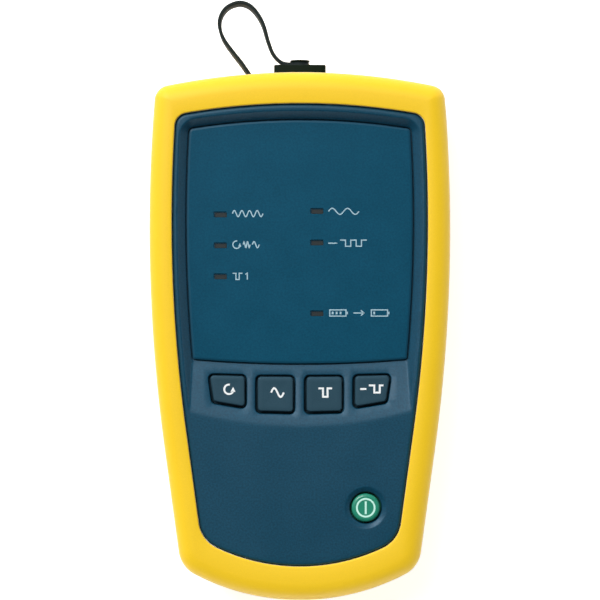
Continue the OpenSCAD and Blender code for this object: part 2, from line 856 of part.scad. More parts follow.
block_l = 25;
block_back = ear_y - ear_t - block_l;
module source_block() {
    arm = ear_y - ear_t;
    color(gold)
    difference() {
        along_port(block_back)
            prism(rectangle(ear_w, block_h), 0, block_l - seat_gap);
        along_port(port_back - seat_gap)
            prism(rectangle(port_w + 2 * slide_gap, port_h + 2 * slide_gap), 0, block_l);
        along_port(block_back - over)
            rod(beam_r, 0, block_l, small_fn);
        along_port(block_back - over)
            rod(can_r, 0, can_l + over, small_fn);
        translate([-ear_w / 2, side_can_y, port_z])
            rotate([0, 90, 0])
                rod(can_r, -over, can_l, small_fn);
        for (side = [1, -1])
            translate([side * ear_screw_x, 0, 0])
                along_port(arm - 8 * ear_screw_r)
                    rod(ear_screw_r * 0.9, 0, 9 * ear_screw_r, small_fn);
    }
}

module adapter_screws() {
    color(steel)
    for (side = [1, -1])
        translate([side * ear_screw_x, 0, 0]) {
            along_port(ear_y - ear_t - 6 * ear_screw_r)
                rod(ear_screw_r * 0.85, 0, 6 * ear_screw_r + ear_t, small_fn);
            along_port(ear_y - seat_gap)
                rod(1.9 * ear_screw_r, 0, screw_head_t, small_fn);
        }
}

can_r = 2.35;
can_l = 3.4;
base_r = 2.8;
base_t = 1.2;
lead_r = 0.25;
lead_l = 2.5;
lead_spread = 1.27;
side_can_y = block_back + block_l / 3;

// An emitter drawn along Z: can in its seat, base against the block, three leads bent up
module emitter(lift) {
    rod(can_r - slide_gap, 0, can_l - seat_gap, small_fn);
    rod(base_r, -base_t, 0, small_fn);
    for (i = [-1, 0, 1])
        translate([i * lead_spread, 0, 0]) {
            rod(lead_r, -base_t - lead_l, -base_t + seat_gap, small_fn);
            translate([0, 0, -base_t - lead_l])
                rotate([-90, 0, 0]) {
                    sphere(r = lead_r, $fn = small_fn);
                    rod(lead_r, 0, lift, small_fn);
                }
        }
}

lead_lift = board_z - board_t - port_z - seat_gap;

module short_wave_emitter() {
    color(gold)
    translate([0, block_back - seat_gap, port_z])
        rotate([-90, 0, 0])
            mirror([0, 1, 0])
                emitter(lead_lift);
}

module long_wave_emitter() {
    color(gold)
    translate([-ear_w / 2 - seat_gap, side_can_y, port_z])
        rotate([0, 0, -90])
            rotate([-90, 0, 0])
                mirror([0, 1, 0])
                    emitter(lead_lift);
}

// Dust cap and strap

cap_y = port_y + 2 * seat_gap + cap_end_t;
cap_mouth = body_top - case_in + 2 * boot_gap;
neck_r = 1.7;
knob_t = 0.7;
cap_corner_r = 1.2;

module dust_cap() {
    color(black)
    difference() {
        union() {
            along_port(cap_mouth)
                prism(rounded(rectangle(cap_w, cap_h), cap_corner_r, 0), 0, cap_y - cap_mouth);
            along_port(cap_y - seat_gap)
                rod(neck_r, 0, strap_t + 3 * seat_gap, small_fn);
            along_port(cap_y + strap_t + 2 * seat_gap)
                rod(knob_r, 0, knob_t);
        }
        along_port(cap_mouth - over)
            prism(rectangle(port_w + 2 * slide_gap, port_h + 2 * slide_gap), 0,
                cap_y - cap_end_t - cap_mouth + over);
    }
}

// The strap's run from the knob round its loop and down towards its screw,
// as shares of the loop's reach to the side and of its reach beyond the cap
strap_run_shares = [[0, 0], [0.14, 0], [0.24, 0.035], [0.335, 0.17], [0.4, 0.39], [0.445, 0.6],
    [0.5, 0.76], [0.58, 0.9], [0.665, 0.98], [0.77, 1], [0.89, 0.94], [0.97, 0.82], [1, 0.67],
    [0.98, 0.51], [0.93, 0.365], [0.83, 0.18], [0.732, 0.015], [0.634, -0.17]];
strap_low = top_y(boot_o, strap_screw_x) - case_in + strap_t / 2 + 3 * seat_gap;
strap_high = cap_y + seat_gap + strap_t / 2;
strap_points = concat(
    [for (s = strap_run_shares) [-s[0] * loop_w, strap_high + s[1] * loop_h]],
    [[-strap_screw_x - 3.4 * strap_t, strap_low + 1.7 * strap_t],
        [-strap_screw_x - 2.5 * strap_t, strap_low + 0.4 * strap_t],
        [-strap_screw_x - 1.7 * strap_t, strap_low],
        [-strap_screw_x, strap_low]]
);

// A smooth curve through the points, with steps short pieces between each pair
strap_steps = 3;
function between(a, b, c, d, t) =
    (2 * b + (c - a) * t + (2 * a - 5 * b + 4 * c - d) * t * t
        + (3 * b - a - 3 * c + d) * t * t * t) / 2;
function smooth(p, steps) =
    let (last = len(p) - 1)
    concat([for (i = [0 : last - 1]) for (s = [0 : steps - 1])
        between(p[max(i - 1, 0)], p[i], p[i + 1], p[min(i + 2, last)], s / steps)], [p[last]]);

// Tilt of the band along its run: one way over the top of the loop, less the other way
// further down, and none at the ends
function swell(from, to, share) = pow(sin(180 * min(1, max(0, (share - from) / (to - from)))), 2);
function tilt(share) = strap_tilt * (swell(0.27, 0.68, share) - swell(0.64, 0.94, share) / 2);

module strap_band() {
    path = smooth(strap_points, strap_steps);
    n = len(path) - 1;
    edge = strap_t / 4;
    half = [strap_t / 2, strap_w / 2];
    section = [[half.x, edge - half.y], [half.x, half.y - edge], [half.x - edge, half.y],
        [edge - half.x, half.y], [-half.x, half.y - edge], [-half.x, edge - half.y],
        [edge - half.x, -half.y], [half.x - edge, -half.y]];
    m = len(section);
    polyhedron(
        points = [for (i = [0 : n])
            let (
                run = path[min(i + 1, n)] - path[max(i - 1, 0)], t = run / norm(run),
                side = [-t.y, t.x, 0], a = tilt(i / n)
            )
            for (s = section)
                [path[i].x, path[i].y, port_z] + side * (s.x * cos(a) - s.y * sin(a))
                    + [0, 0, s.x * sin(a) + s.y * cos(a)]],
        faces = concat(
            [[for (j = [0 : m - 1]) j]],
            [for (i = [0 : n - 1]) for (j = [0 : m - 1])
                [i * m + j, (i + 1) * m + j, (i + 1) * m + (j + 1) % m, i * m + (j + 1) % m]],
            [[for (j = [m - 1 : -1 : 0]) n * m + j]]
        )
    );
}

module eyelet(x, y) {
    translate([x, y - strap_t / 2, port_z])
        rotate([-90, 0, 0])
            rod(eye_r, 0, strap_t);
}

module cap_strap() {
    color(black)
    difference() {
        union() {
            strap_band();
            eyelet(0, strap_high);
            eyelet(-strap_screw_x, strap_low);
        }
        along_port(cap_y - over)
            rod(neck_r + slide_gap, 0, strap_t + 2 * over, small_fn);
        translate([-strap_screw_x, 0, 0])
            along_port(strap_low - strap_t)
                rod(strap_thread_r + slide_gap, 0, 3 * strap_t, small_fn);
    }
}

module strap_screw() {
    head_y = strap_low + strap_t / 2 + seat_gap;
    color(steel)
    translate([-strap_screw_x, 0, 0]) {
        along_port(head_y)
            rod(2 * strap_thread_r, 0, screw_head_t, small_fn);
        along_port(head_y - strap_boss_l - strap_t)
            rod(strap_thread_r * 0.9, 0, strap_boss_l + strap_t + seat_gap, small_fn);
    }
}

// Battery bay

cell_x = bay_half_w / 2;
door_gap = 0.25;
door_half_w = bay_half_w + bay_wall * 0.75;
door_top = bay_top - bay_wall * 1.25;
door_foot = bay_top + bay_l + bay_wall;
hinge_z = back_z + door_t / 2;
hinge_y = door_top + door_gap + door_t / 2;
pin_l = 1.5;
tongue_w = 12;
tongue_l = 9;
tongue_cut = 0.8;
notch_r = 9;
ridge_w = 0.8;

// Carries a piece drawn along Z onto the door's hinge line along X
module door_axis() {
    translate([0, -hinge_y, hinge_z])
        rotate([0, 90, 0])
            children();
}

// Round hollow beside the door's tongue, for a thumbnail
module thumb_notch() {
    translate([0, -door_foot - notch_r * 0.55, back_z - notch_r * 0.78])
        rotate([0, 90, 0])
            sphere(r = notch_r * 0.9, $fn = round_fn);
}

module battery_door() {
    z1 = back_z + door_t;
    color(navy)
    difference() {
        union() {
            box(-door_half_w, door_half_w, -door_foot, -hinge_y, back_z, z1);
            door_axis() {
                rod(door_t / 2, -door_half_w, door_half_w, small_fn);
                rod(hinge_r, -door_half_w - pin_l, door_half_w + pin_l, small_fn);
            }
        }
        // Slots that free the latch tongue on both sides
        for (side = [1, -1])
            box(side * tongue_w / 2 - tongue_cut / 2, side * tongue_w / 2 + tongue_cut / 2,
                -door_foot - over, -door_foot + tongue_l, back_z - over, z1 + over);
        // Grip grooves across the tongue
        for (i = [1 : 4])
            box(-tongue_w / 2 + 2 * tongue_cut, tongue_w / 2 - 2 * tongue_cut,
                -door_foot + 2 * i * ridge_w, -door_foot + (2 * i + 1) * ridge_w,
                back_z - over, back_z + ridge_w / 2);
    }
}

nub_r = 2.75;
nub_l = 1;
plate_t = 0.4;
plate_w = 11;
tab_w = 4;
bump_t = 0.6;

// A cell whose nub points towards its bay wall at +Y, with room for the contact there
module cell(x, up) {
    nub_y = up ? -bay_top - plate_t - bump_t : -bay_top - bay_l + plate_t + bump_t;
    along = up ? 90 : -90;
    color("#6d7478")
    translate([x, nub_y, cell_z])
        rotate([along, 0, 0]) {
            rod(nub_r, 0, nub_l + seat_gap, small_fn);
            rod(cell_r, nub_l, cell_l);
        }
}

module left_cell() { cell(-cell_x, true); }
module right_cell() { cell(cell_x, false); }

wire_r = 0.4;
spring_turns = 4;
turn_steps = 10;
spring_l = bay_l - cell_l - 2 * plate_t - bump_t;
wide_r = 4.6;
narrow_r = 2.6;

// A conical spring of one wire, drawn along Z from its wide end, closed to a flat end
module cone_spring() {
    n = spring_turns * turn_steps;
    sides = 6;
    climb = spring_l - 2 * wire_r - 2 * seat_gap;
    polyhedron(
        points = [for (i = [0 : n])
            let (a = 360 * i / turn_steps, r = wide_r + (narrow_r - wide_r) * i / n)
            for (j = [0 : sides - 1])
                let (b = 360 * j / sides, out = r + wire_r * cos(b))
                [out * cos(a), out * sin(a), wire_r + climb * i / n - wire_r * sin(b)]],
        faces = concat(
            [[for (j = [0 : sides - 1]) j]],
            [for (i = [0 : n - 1]) for (j = [0 : sides - 1])
                for (f = [[i * sides + j, (i + 1) * sides + j, (i + 1) * sides + (j + 1) % sides],
                    [i * sides + j, (i + 1) * sides + (j + 1) % sides, i * sides + (j + 1) % sides]])
                    f],
            [[for (j = [sides - 1 : -1 : 0]) n * sides + j]]
        )
    );
}

module contact_springs() {
    color(steel) {
        translate([-cell_x, -bay_top - bay_l + plate_t + seat_gap, cell_z])
            rotate([-90, 0, 0])
                cone_spring();
        translate([cell_x, -bay_top - plate_t - seat_gap, cell_z])
            rotate([90, 0, 0])
                cone_spring();
    }
}

module contact_plates() {
    upper = -bay_top;
    lower = -bay_top - bay_l;
    color(steel) {
        box(-cell_x - plate_w / 2, cell_x + plate_w / 2, lower, lower + plate_t,
            cell_z - plate_w / 2, cell_z + plate_w / 2);
        translate([cell_x, lower + plate_t, cell_z])
            rotate([-90, 0, 0])
                rod(nub_r, -seat_gap, bump_t - seat_gap, small_fn);
        for (side = [1, -1])
            translate([side * cell_x, 0, 0]) {
                box(-plate_w / 2, plate_w / 2, upper - plate_t, upper,
                    cell_z - plate_w / 2, cell_z + plate_w / 2);
                box(-tab_w / 2, tab_w / 2, upper - plate_t, upper,
                    cell_z, board_z - board_t - seat_gap);
            }
        translate([-cell_x, upper - plate_t, cell_z])
            rotate([90, 0, 0])
                rod(nub_r, -seat_gap, bump_t - seat_gap, small_fn);
    }
}

boot();
front_case();
rear_case();
case_seal();
label_panel();
key_1();
key_2();
key_3();
key_4();
power_button();
keypad_mat();
switch_domes();
main_board();
controller_chip();
driver_chips();
indicator_leds();
light_pipes();
board_screws();
fibre_adapter();
alignment_sleeve();
adapter_screws();
source_block();
short_wave_emitter();
long_wave_emitter();
dust_cap();
cap_strap();
strap_screw();
battery_door();
left_cell();
right_cell();
contact_springs();
contact_plates();
case_screws();
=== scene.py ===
"""Visual model of an optical light source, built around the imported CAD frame."""
import json
import math

import bmesh
import bpy
import numpy as np
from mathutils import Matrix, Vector
from mathutils.geometry import delaunay_2d_cdt


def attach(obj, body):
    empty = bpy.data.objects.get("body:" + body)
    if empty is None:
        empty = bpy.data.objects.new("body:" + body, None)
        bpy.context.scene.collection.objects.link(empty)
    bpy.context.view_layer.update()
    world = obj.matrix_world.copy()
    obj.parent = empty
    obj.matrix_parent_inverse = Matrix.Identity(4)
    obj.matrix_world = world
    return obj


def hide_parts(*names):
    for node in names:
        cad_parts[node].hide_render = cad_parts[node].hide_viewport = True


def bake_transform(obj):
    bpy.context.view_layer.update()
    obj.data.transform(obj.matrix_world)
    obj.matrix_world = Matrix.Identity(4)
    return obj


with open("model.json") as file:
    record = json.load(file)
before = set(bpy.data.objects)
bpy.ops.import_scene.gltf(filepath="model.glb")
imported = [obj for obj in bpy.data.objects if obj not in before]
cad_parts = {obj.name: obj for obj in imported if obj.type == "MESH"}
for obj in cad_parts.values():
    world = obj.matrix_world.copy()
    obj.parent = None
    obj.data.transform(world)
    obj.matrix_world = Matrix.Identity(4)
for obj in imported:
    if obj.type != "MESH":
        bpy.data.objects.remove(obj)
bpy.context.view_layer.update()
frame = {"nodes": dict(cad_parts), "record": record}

# All lengths below are in millimetres, as in the part's source; MM turns them into metres.
MM = 0.001
ROOT = "instrument"

# Sizes and heights that the case, its front face and the pieces in it share
BOOT_H = 38.0
BOOT_WALL = 2.8
LIP_T = 2.2
BOOT_ROUND = 4.4
BOOT_CROWN = 0.1
BOOT_EDGE_R = 0.45
CASE_IN = 3.0
CASE_WALL = 2.2
HOLLOW_IN = CASE_IN + CASE_WALL
FACE_GAP = 0.38
RIM_ROUND = 0.9
PALM_Z = 37.2
WELL_Z = 34.4
ROOF_Z = 32.2
BOARD_Z = 27.0
SHOULDER_Z = 35.6
PARTING_Z = 22.0
PORT_Z = 18.5
LABEL_T = 0.5
LABEL_GAP = 0.3
LABEL_TOP = 66.5
LABEL_HALF_W = 34.8
LABEL_FOOT = 8.4
LABEL_FOOT_R = 384.0
WELL_SLOPE_W = 2.6
CREASE_Y = 27.6
CREASE_R = 127.0
KEY_TOP = 12.5
KEY_H = 10.9
KEY_W = 27.7 / 2.585
KEY_GAP = 0.55
KEY_CORNER_R = 1.1
KEY_Z = 36.9
KEY_ROUND = 0.5
KEY_FLANGE_Z = ROOF_Z - 0.15
KEY_FLANGE_T = 0.9
KEY_POST_R = 1.5
KEY_POST_Z = 29.5
POWER = (20.231, -52.7)
POWER_R = 4.35
DISH_R = 6.3
DISH_T = 0.7
LED_W = 3.7
LED_H = 1.4
CAP_W = 16.16
CAP_H = 12.76
CAP_Y = 84.5
CAP_MOUTH_Y = 78.9
PORT_W = 13.16
PORT_H = 9.76
EYELET_R = 2.9
STRAP_W = 4.2
STRAP_T = 1.05
STRAP_SCREW_X = 11.58

# An outline is half width, top, foot, side radius, top radius, foot radius, top corner,
# foot corner, height where it is widest, taper angle in degrees or 0 for none
BOOT_O = (46.5, 81.5, 81.5, 498.0, 205.4, 70.4, 4.9, 9.3, 33.2, 7.8)
WIN_O = (39.4, 71.6, 70.8, 474.0, 207.5, 59.6, 4.2, 9.9, 35.6, 7.8)
LABEL_O = (LABEL_HALF_W, LABEL_TOP, LABEL_FOOT, 469.4, 214.0, LABEL_FOOT_R, 1.2, 0.6, 35.6, 0.0)
WELL_O = (LABEL_HALF_W, LABEL_TOP, 70.8, 469.4, 214.0, 59.6, 1.2, 9.9, 35.6, 7.8)
LED_SHARES = ((-0.7, 0.561), (-0.7, 0.418), (-0.7, 0.274), (0.155, 0.577), (0.155, 0.431),
              (0.155, 0.103))
LEDS = [(a * LABEL_HALF_W, b * LABEL_TOP) for a, b in LED_SHARES]

# Steps along an outline's foot, foot corner, side, top corner and top
FINE = (36, 12, 52, 10, 44)
GROOVE_STEPS = (48, 4, 90, 6, 60)
WELL_STEPS = (4, 4, 110, 8, 60)

# The groove round the label: its loops' distances from the label's outline, and its depth
GROOVE = (0.0, 0.03, 0.47, 0.5)
GROOVE_T = 1.3

# Edges of the front case that turn by more than this angle, in degrees, stay sharp
FACE_ANGLE = 38.0


def on_circle(c, r, a):
    return (c[0] + r * math.cos(a), c[1] + r * math.sin(a))


def bearing(a, b):
    return math.atan2(b[1] - a[1], b[0] - a[0])


def meet(a, ra, b, rb):
    """The right-hand point where two circles meet."""
    dx, dy = b[0] - a[0], b[1] - a[1]
    gap = math.hypot(dx, dy)
    ux, uy = dx / gap, dy / gap
    along = (gap * gap + ra * ra - rb * rb) / (2 * gap)
    off = math.sqrt(ra * ra - along * along)
    first = (a[0] + ux * along - uy * off, a[1] + uy * along + ux * off)
    second = (a[0] + ux * along + uy * off, a[1] + uy * along - ux * off)
    return first if first[0] > second[0] else second


def drawn_in(o, inset):
    """An outline's values with all its lines moved inwards by inset."""
    return tuple(v - inset for v in o[:6]) + tuple(max(v - inset, 0.4) for v in o[6:8]) + o[8:]


def outline(o, inset=0.0, steps=FINE):
    """Points of an outline drawn in by inset, anticlockwise from the middle of its foot."""
    o = drawn_in(o, inset)
    side_c, top_c, foot_c = (o[0] - o[3], o[8]), (0.0, o[1] - o[4]), (0.0, o[5] - o[2])
    top_corner = meet(side_c, o[3] - o[6], top_c, o[4] - o[6])
    taper = math.radians(o[9])
    if taper == 0:
        foot_corner = meet(side_c, o[3] - o[7], foot_c, o[5] - o[7])
        turn = bearing(side_c, foot_corner)
    else:
        start = on_circle(side_c, o[3] - o[7], -taper)
        down = (-math.sin(taper), -math.cos(taper))
        w = (start[0] - foot_c[0], start[1] - foot_c[1])
        half_b = w[0] * down[0] + w[1] * down[1]
        c = w[0] ** 2 + w[1] ** 2 - (o[5] - o[7]) ** 2
        s = math.sqrt(half_b * half_b - c) - half_b
        foot_corner = (start[0] + down[0] * s, start[1] + down[1] * s)
        turn = -taper
    arcs = (
        (foot_c, o[5], -math.pi / 2, bearing(foot_c, foot_corner), steps[0], 0),
        (foot_corner, o[7], bearing(foot_c, foot_corner), turn, steps[1], 1),
        (side_c, o[3], turn, bearing(side_c, top_corner), steps[2], 1 if taper == 0 else 0),
        (top_corner, o[6], bearing(side_c, top_corner), bearing(top_c, top_corner), steps[3], 1),
        (top_c, o[4], bearing(top_c, top_corner), math.pi / 2, steps[4], 1),
    )
    right = [on_circle(c, r, a + (b - a) * i / n) for c, r, a, b, n, first in arcs
             for i in range(first, n + 1)]
    return right + [(-x, y) for x, y in reversed(right[1:-1])]


def top_y(o, x):
    """Height of an outline's top arc at x."""
    return o[1] - o[4] + math.sqrt(o[4] ** 2 - x * x)


def rounded(points, r, inset=0.0, steps=6):
    """A convex anticlockwise polygon with corners of radius r, drawn in by inset."""
    out = []
    n = len(points)
    for i, here in enumerate(points):
        here, before, after = Vector(here), Vector(points[i - 1]), Vector(points[(i + 1) % n])
        u, v = (before - here).normalized(), (after - here).normalized()
        mid = (u + v).normalized()
        half = math.acos(max(-1, min(1, u.dot(v)))) / 2
        centre = here + mid * r / math.sin(half)
        middle_a = math.atan2(-mid.y, -mid.x)
        a, b = middle_a - (math.pi / 2 - half), middle_a + (math.pi / 2 - half)
        out += [on_circle(centre, r - inset, a + (b - a) * k / steps) for k in range(steps + 1)]
    return out


def rectangle(w, h, x=0.0, y=0.0):
    return [(x + w / 2, y + h / 2), (x - w / 2, y + h / 2), (x - w / 2, y - h / 2),
            (x + w / 2, y - h / 2)]


def circle(r, n, x=0.0, y=0.0):
    return [on_circle((x, y), r, 2 * math.pi * i / n) for i in range(n)]


def smile_y(y, r, x):
    """Height of a smile-shaped arc that crosses the middle y below the origin."""
    return r - y - np.sqrt(r * r - x * x)


class Form:
    """Vertices and faces of one piece, gathered in millimetres."""

    def __init__(self):
        self.verts = []
        self.faces = []
        self.marks = []

    def add(self, verts):
        """Takes the points in and returns their numbers."""
        start = len(self.verts)
        self.verts += verts
        return list(range(start, len(self.verts)))

    def ring(self, points, z):
        return self.add([(x, y, z) for x, y in points])

    def bridge(self, a, b, mark=0):
        n = len(a)
        for j in range(n):
            k = (j + 1) % n
            self.face([a[j], a[k], b[k], b[j]], mark)

    def face(self, ids, mark=0):
        self.faces.append(ids)
        self.marks.append(mark)

    def loft(self, rings, closed=False):
        made = [self.ring(p, z) for p, z in rings]
        for a, b in zip(made, made[1:] + ([made[0]] if closed else [])):
            self.bridge(a, b)
        return made

    def lid(self, ring, down=False):
        self.face(list(reversed(ring)) if down else list(ring))

    def close(self, rings):
        """Lids on the first and the last of the rings."""
        self.lid(rings[0], down=True)
        self.lid(rings[-1])


def edit(mesh, work):
    """Changes a mesh by a function of its editable form."""
    bm = bmesh.new()
    bm.from_mesh(mesh)
    work(bm)
    bm.to_mesh(mesh)
    bm.free()


def merge(bm):
    bmesh.ops.remove_doubles(bm, verts=bm.verts, dist=1e-7)


def soften(bm, sharp):
    """Smooth faces, with sharp edges over the given angle in degrees."""
    for f in bm.faces:
        f.smooth = True
    limit = math.radians(sharp)
    for e in bm.edges:
        e.smooth = not (len(e.link_faces) == 2 and e.calc_face_angle(0.0) > limit)


def add_object(name, data):
    obj = bpy.data.objects.new(name, data)
    bpy.context.scene.collection.objects.link(obj)
    return obj


def make(name, form, *materials, sharp=35.0):
    """Turns a form into an object; a face's mark is the number of its material."""
    mesh = bpy.data.meshes.new(name)
    mesh.from_pydata([Vector(v) * MM for v in form.verts], [], form.faces)
    for m in materials:
        mesh.materials.append(m)
    for poly, mark in zip(mesh.polygons, form.marks):
        poly.material_index = mark

    def clean(bm):
        merge(bm)
        bmesh.ops.recalc_face_normals(bm, faces=bm.faces)
        soften(bm, sharp)

    edit(mesh, clean)
    return add_object(name, mesh)


def cut(obj, cutter, sharp=35.0):
    """Takes the cutter out of the piece, removes the cutter and marks the sharp edges anew."""
    mod = obj.modifiers.new("cut", "BOOLEAN")
    mod.operation, mod.solver, mod.object = "DIFFERENCE", "EXACT", cutter
    graph = bpy.context.evaluated_depsgraph_get()
    baked = bpy.data.meshes.new_from_object(obj.evaluated_get(graph))
    obj.modifiers.clear()
    old = obj.data
    obj.data = baked
    bpy.data.meshes.remove(old)
    bpy.data.objects.remove(cutter, do_unlink=True)
    edit(obj.data, lambda bm: soften(bm, sharp))


def bevel(obj, width):
    """Narrow bevels on the piece's sharp edges, as modifiers that leave its mesh alone."""
    mod = obj.modifiers.new("edges", "BEVEL")
    mod.width, mod.segments = width * MM, 2
    mod.limit_method, mod.angle_limit = "ANGLE", math.radians(40.0)
    weigh = obj.modifiers.new("normals", "WEIGHTED_NORMAL")
    weigh.keep_sharp = True


def place(obj, body, slot, *replaced):
    """Hangs a piece on the body it rides on and hides the CAD nodes it stands for; slot is not
    used.
    """
    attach(obj, body)
    if replaced:
        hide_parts(*replaced)


def nodes_of(name):
    """A new material with its shader, and the coordinates for its textures."""
    mat = bpy.data.materials.new(name)
    mat.use_nodes = True
    tree = mat.node_tree
    tree.nodes.clear()
    out = tree.nodes.new("ShaderNodeOutputMaterial")
    shader = tree.nodes.new("ShaderNodeBsdfPrincipled")
    tree.links.new(shader.outputs[0], out.inputs[0])
    where = tree.nodes.new("ShaderNodeTexCoord")
    return mat, tree, shader, where


def noise(tree, where, size_mm, rough=0.5, stretch=None):
    """Noise with features of about the given size, in the object's own space."""
    tex = tree.nodes.new("ShaderNodeTexNoise")
    tex.inputs["Scale"].default_value = 1.0 / (size_mm * MM)
    tex.inputs["Detail"].default_value = 3.0
    tex.inputs["Roughness"].default_value = rough
    if stretch:
        mapping = tree.nodes.new("ShaderNodeMapping")
        mapping.inputs["Scale"].default_value = stretch
        tree.links.new(where.outputs["Object"], mapping.inputs["Vector"])
        tree.links.new(mapping.outputs["Vector"], tex.inputs["Vector"])
    else:
        tree.links.new(where.outputs["Object"], tex.inputs["Vector"])
    return tex


def blend_colour(tree, factor, dark, light):
    """A colour between the two that follows the middle part of the factor's range."""
    ramp = tree.nodes.new("ShaderNodeValToRGB")
    for element, position, colour in zip(ramp.color_ramp.elements, (0.35, 0.65), (dark, light)):
        element.position = position
        element.color = (*colour, 1)
    tree.links.new(factor, ramp.inputs["Fac"])
    return ramp.outputs["Color"]


def map_range(tree, value, low, high, start, end, steps="LINEAR"):
    """Spreads the values from low to high over start to end."""
    node = tree.nodes.new("ShaderNodeMapRange")
    node.interpolation_type = steps
    numbers = {"From Min": low, "From Max": high, "To Min": start, "To Max": end}
    for name, number in numbers.items():
        node.inputs[name].default_value = number
    tree.links.new(value, node.inputs["Value"])
    return node.outputs["Result"]


def calculate(tree, operation, a, b):
    """Works on two sockets, or on a socket and a number."""
    node = tree.nodes.new("ShaderNodeMath")
    node.operation = operation
    tree.links.new(a, node.inputs[0])
    if isinstance(b, float):
        node.inputs[1].default_value = b
    else:
        tree.links.new(b, node.inputs[1])
    return node.outputs[0]


def shade(colour, factor):
    return tuple(min(1.0, c * factor) for c in colour)


def finish(name, colour, rough, grain=0.4, spread=0.06, bump=0.02, patch=18.0, metallic=0.0,
           coat=0.0, sheen=0.0, specular=0.5, patch_spread=0.04, stretch=None, tint=(1, 1, 1)):
    """A surface with a fine grain in colour and relief, and a wide, faint change of tone.

    Grain and patch are the sizes of those two in millimetres, and bump is the grain's height.
    """
    mat, tree, shader, where = nodes_of(name)
    rough_spread = 0.08
    shader.inputs["Metallic"].default_value = metallic
    shader.inputs["Specular IOR Level"].default_value = specular
    shader.inputs["Specular Tint"].default_value = (*tint, 1)
    shader.inputs["Coat Weight"].default_value = coat
    shader.inputs["Coat Roughness"].default_value = 0.15
    shader.inputs["Sheen Weight"].default_value = sheen
    shader.inputs["Sheen Roughness"].default_value = 0.35
    fine = noise(tree, where, grain, 0.6, stretch)
    wide = noise(tree, where, patch)
    tone = blend_colour(tree, fine.outputs["Fac"], shade(colour, 1 - spread),
                        shade(colour, 1 + spread))
    patches = blend_colour(tree, wide.outputs["Fac"], shade((1, 1, 1), 1 - patch_spread),
                           (1, 1, 1))
    mix = tree.nodes.new("ShaderNodeMix")
    mix.data_type, mix.blend_type = "RGBA", "MULTIPLY"
    mix.inputs["Factor"].default_value = 1.0
    tree.links.new(tone, mix.inputs["A"])
    tree.links.new(patches, mix.inputs["B"])
    tree.links.new(mix.outputs["Result"], shader.inputs["Base Color"])
    roughness = map_range(tree, wide.outputs["Fac"], 0.0, 1.0, rough - rough_spread,
                          rough + rough_spread)
    tree.links.new(roughness, shader.inputs["Roughness"])
    relief = tree.nodes.new("ShaderNodeBump")
    relief.inputs["Strength"].default_value = 1.0
    relief.inputs["Distance"].default_value = bump * MM
    tree.links.new(fine.outputs["Fac"], relief.inputs["Height"])
    tree.links.new(relief.outputs["Normal"], shader.inputs["Normal"])
    return mat


def srgb(r, g, b):
    """Linear colour of an 8-bit sRGB one."""
    return tuple((c / 255 / 12.92) if c <= 10.3 else ((c / 255 + 0.055) / 1.055) ** 2.4
                 for c in (r, g, b))


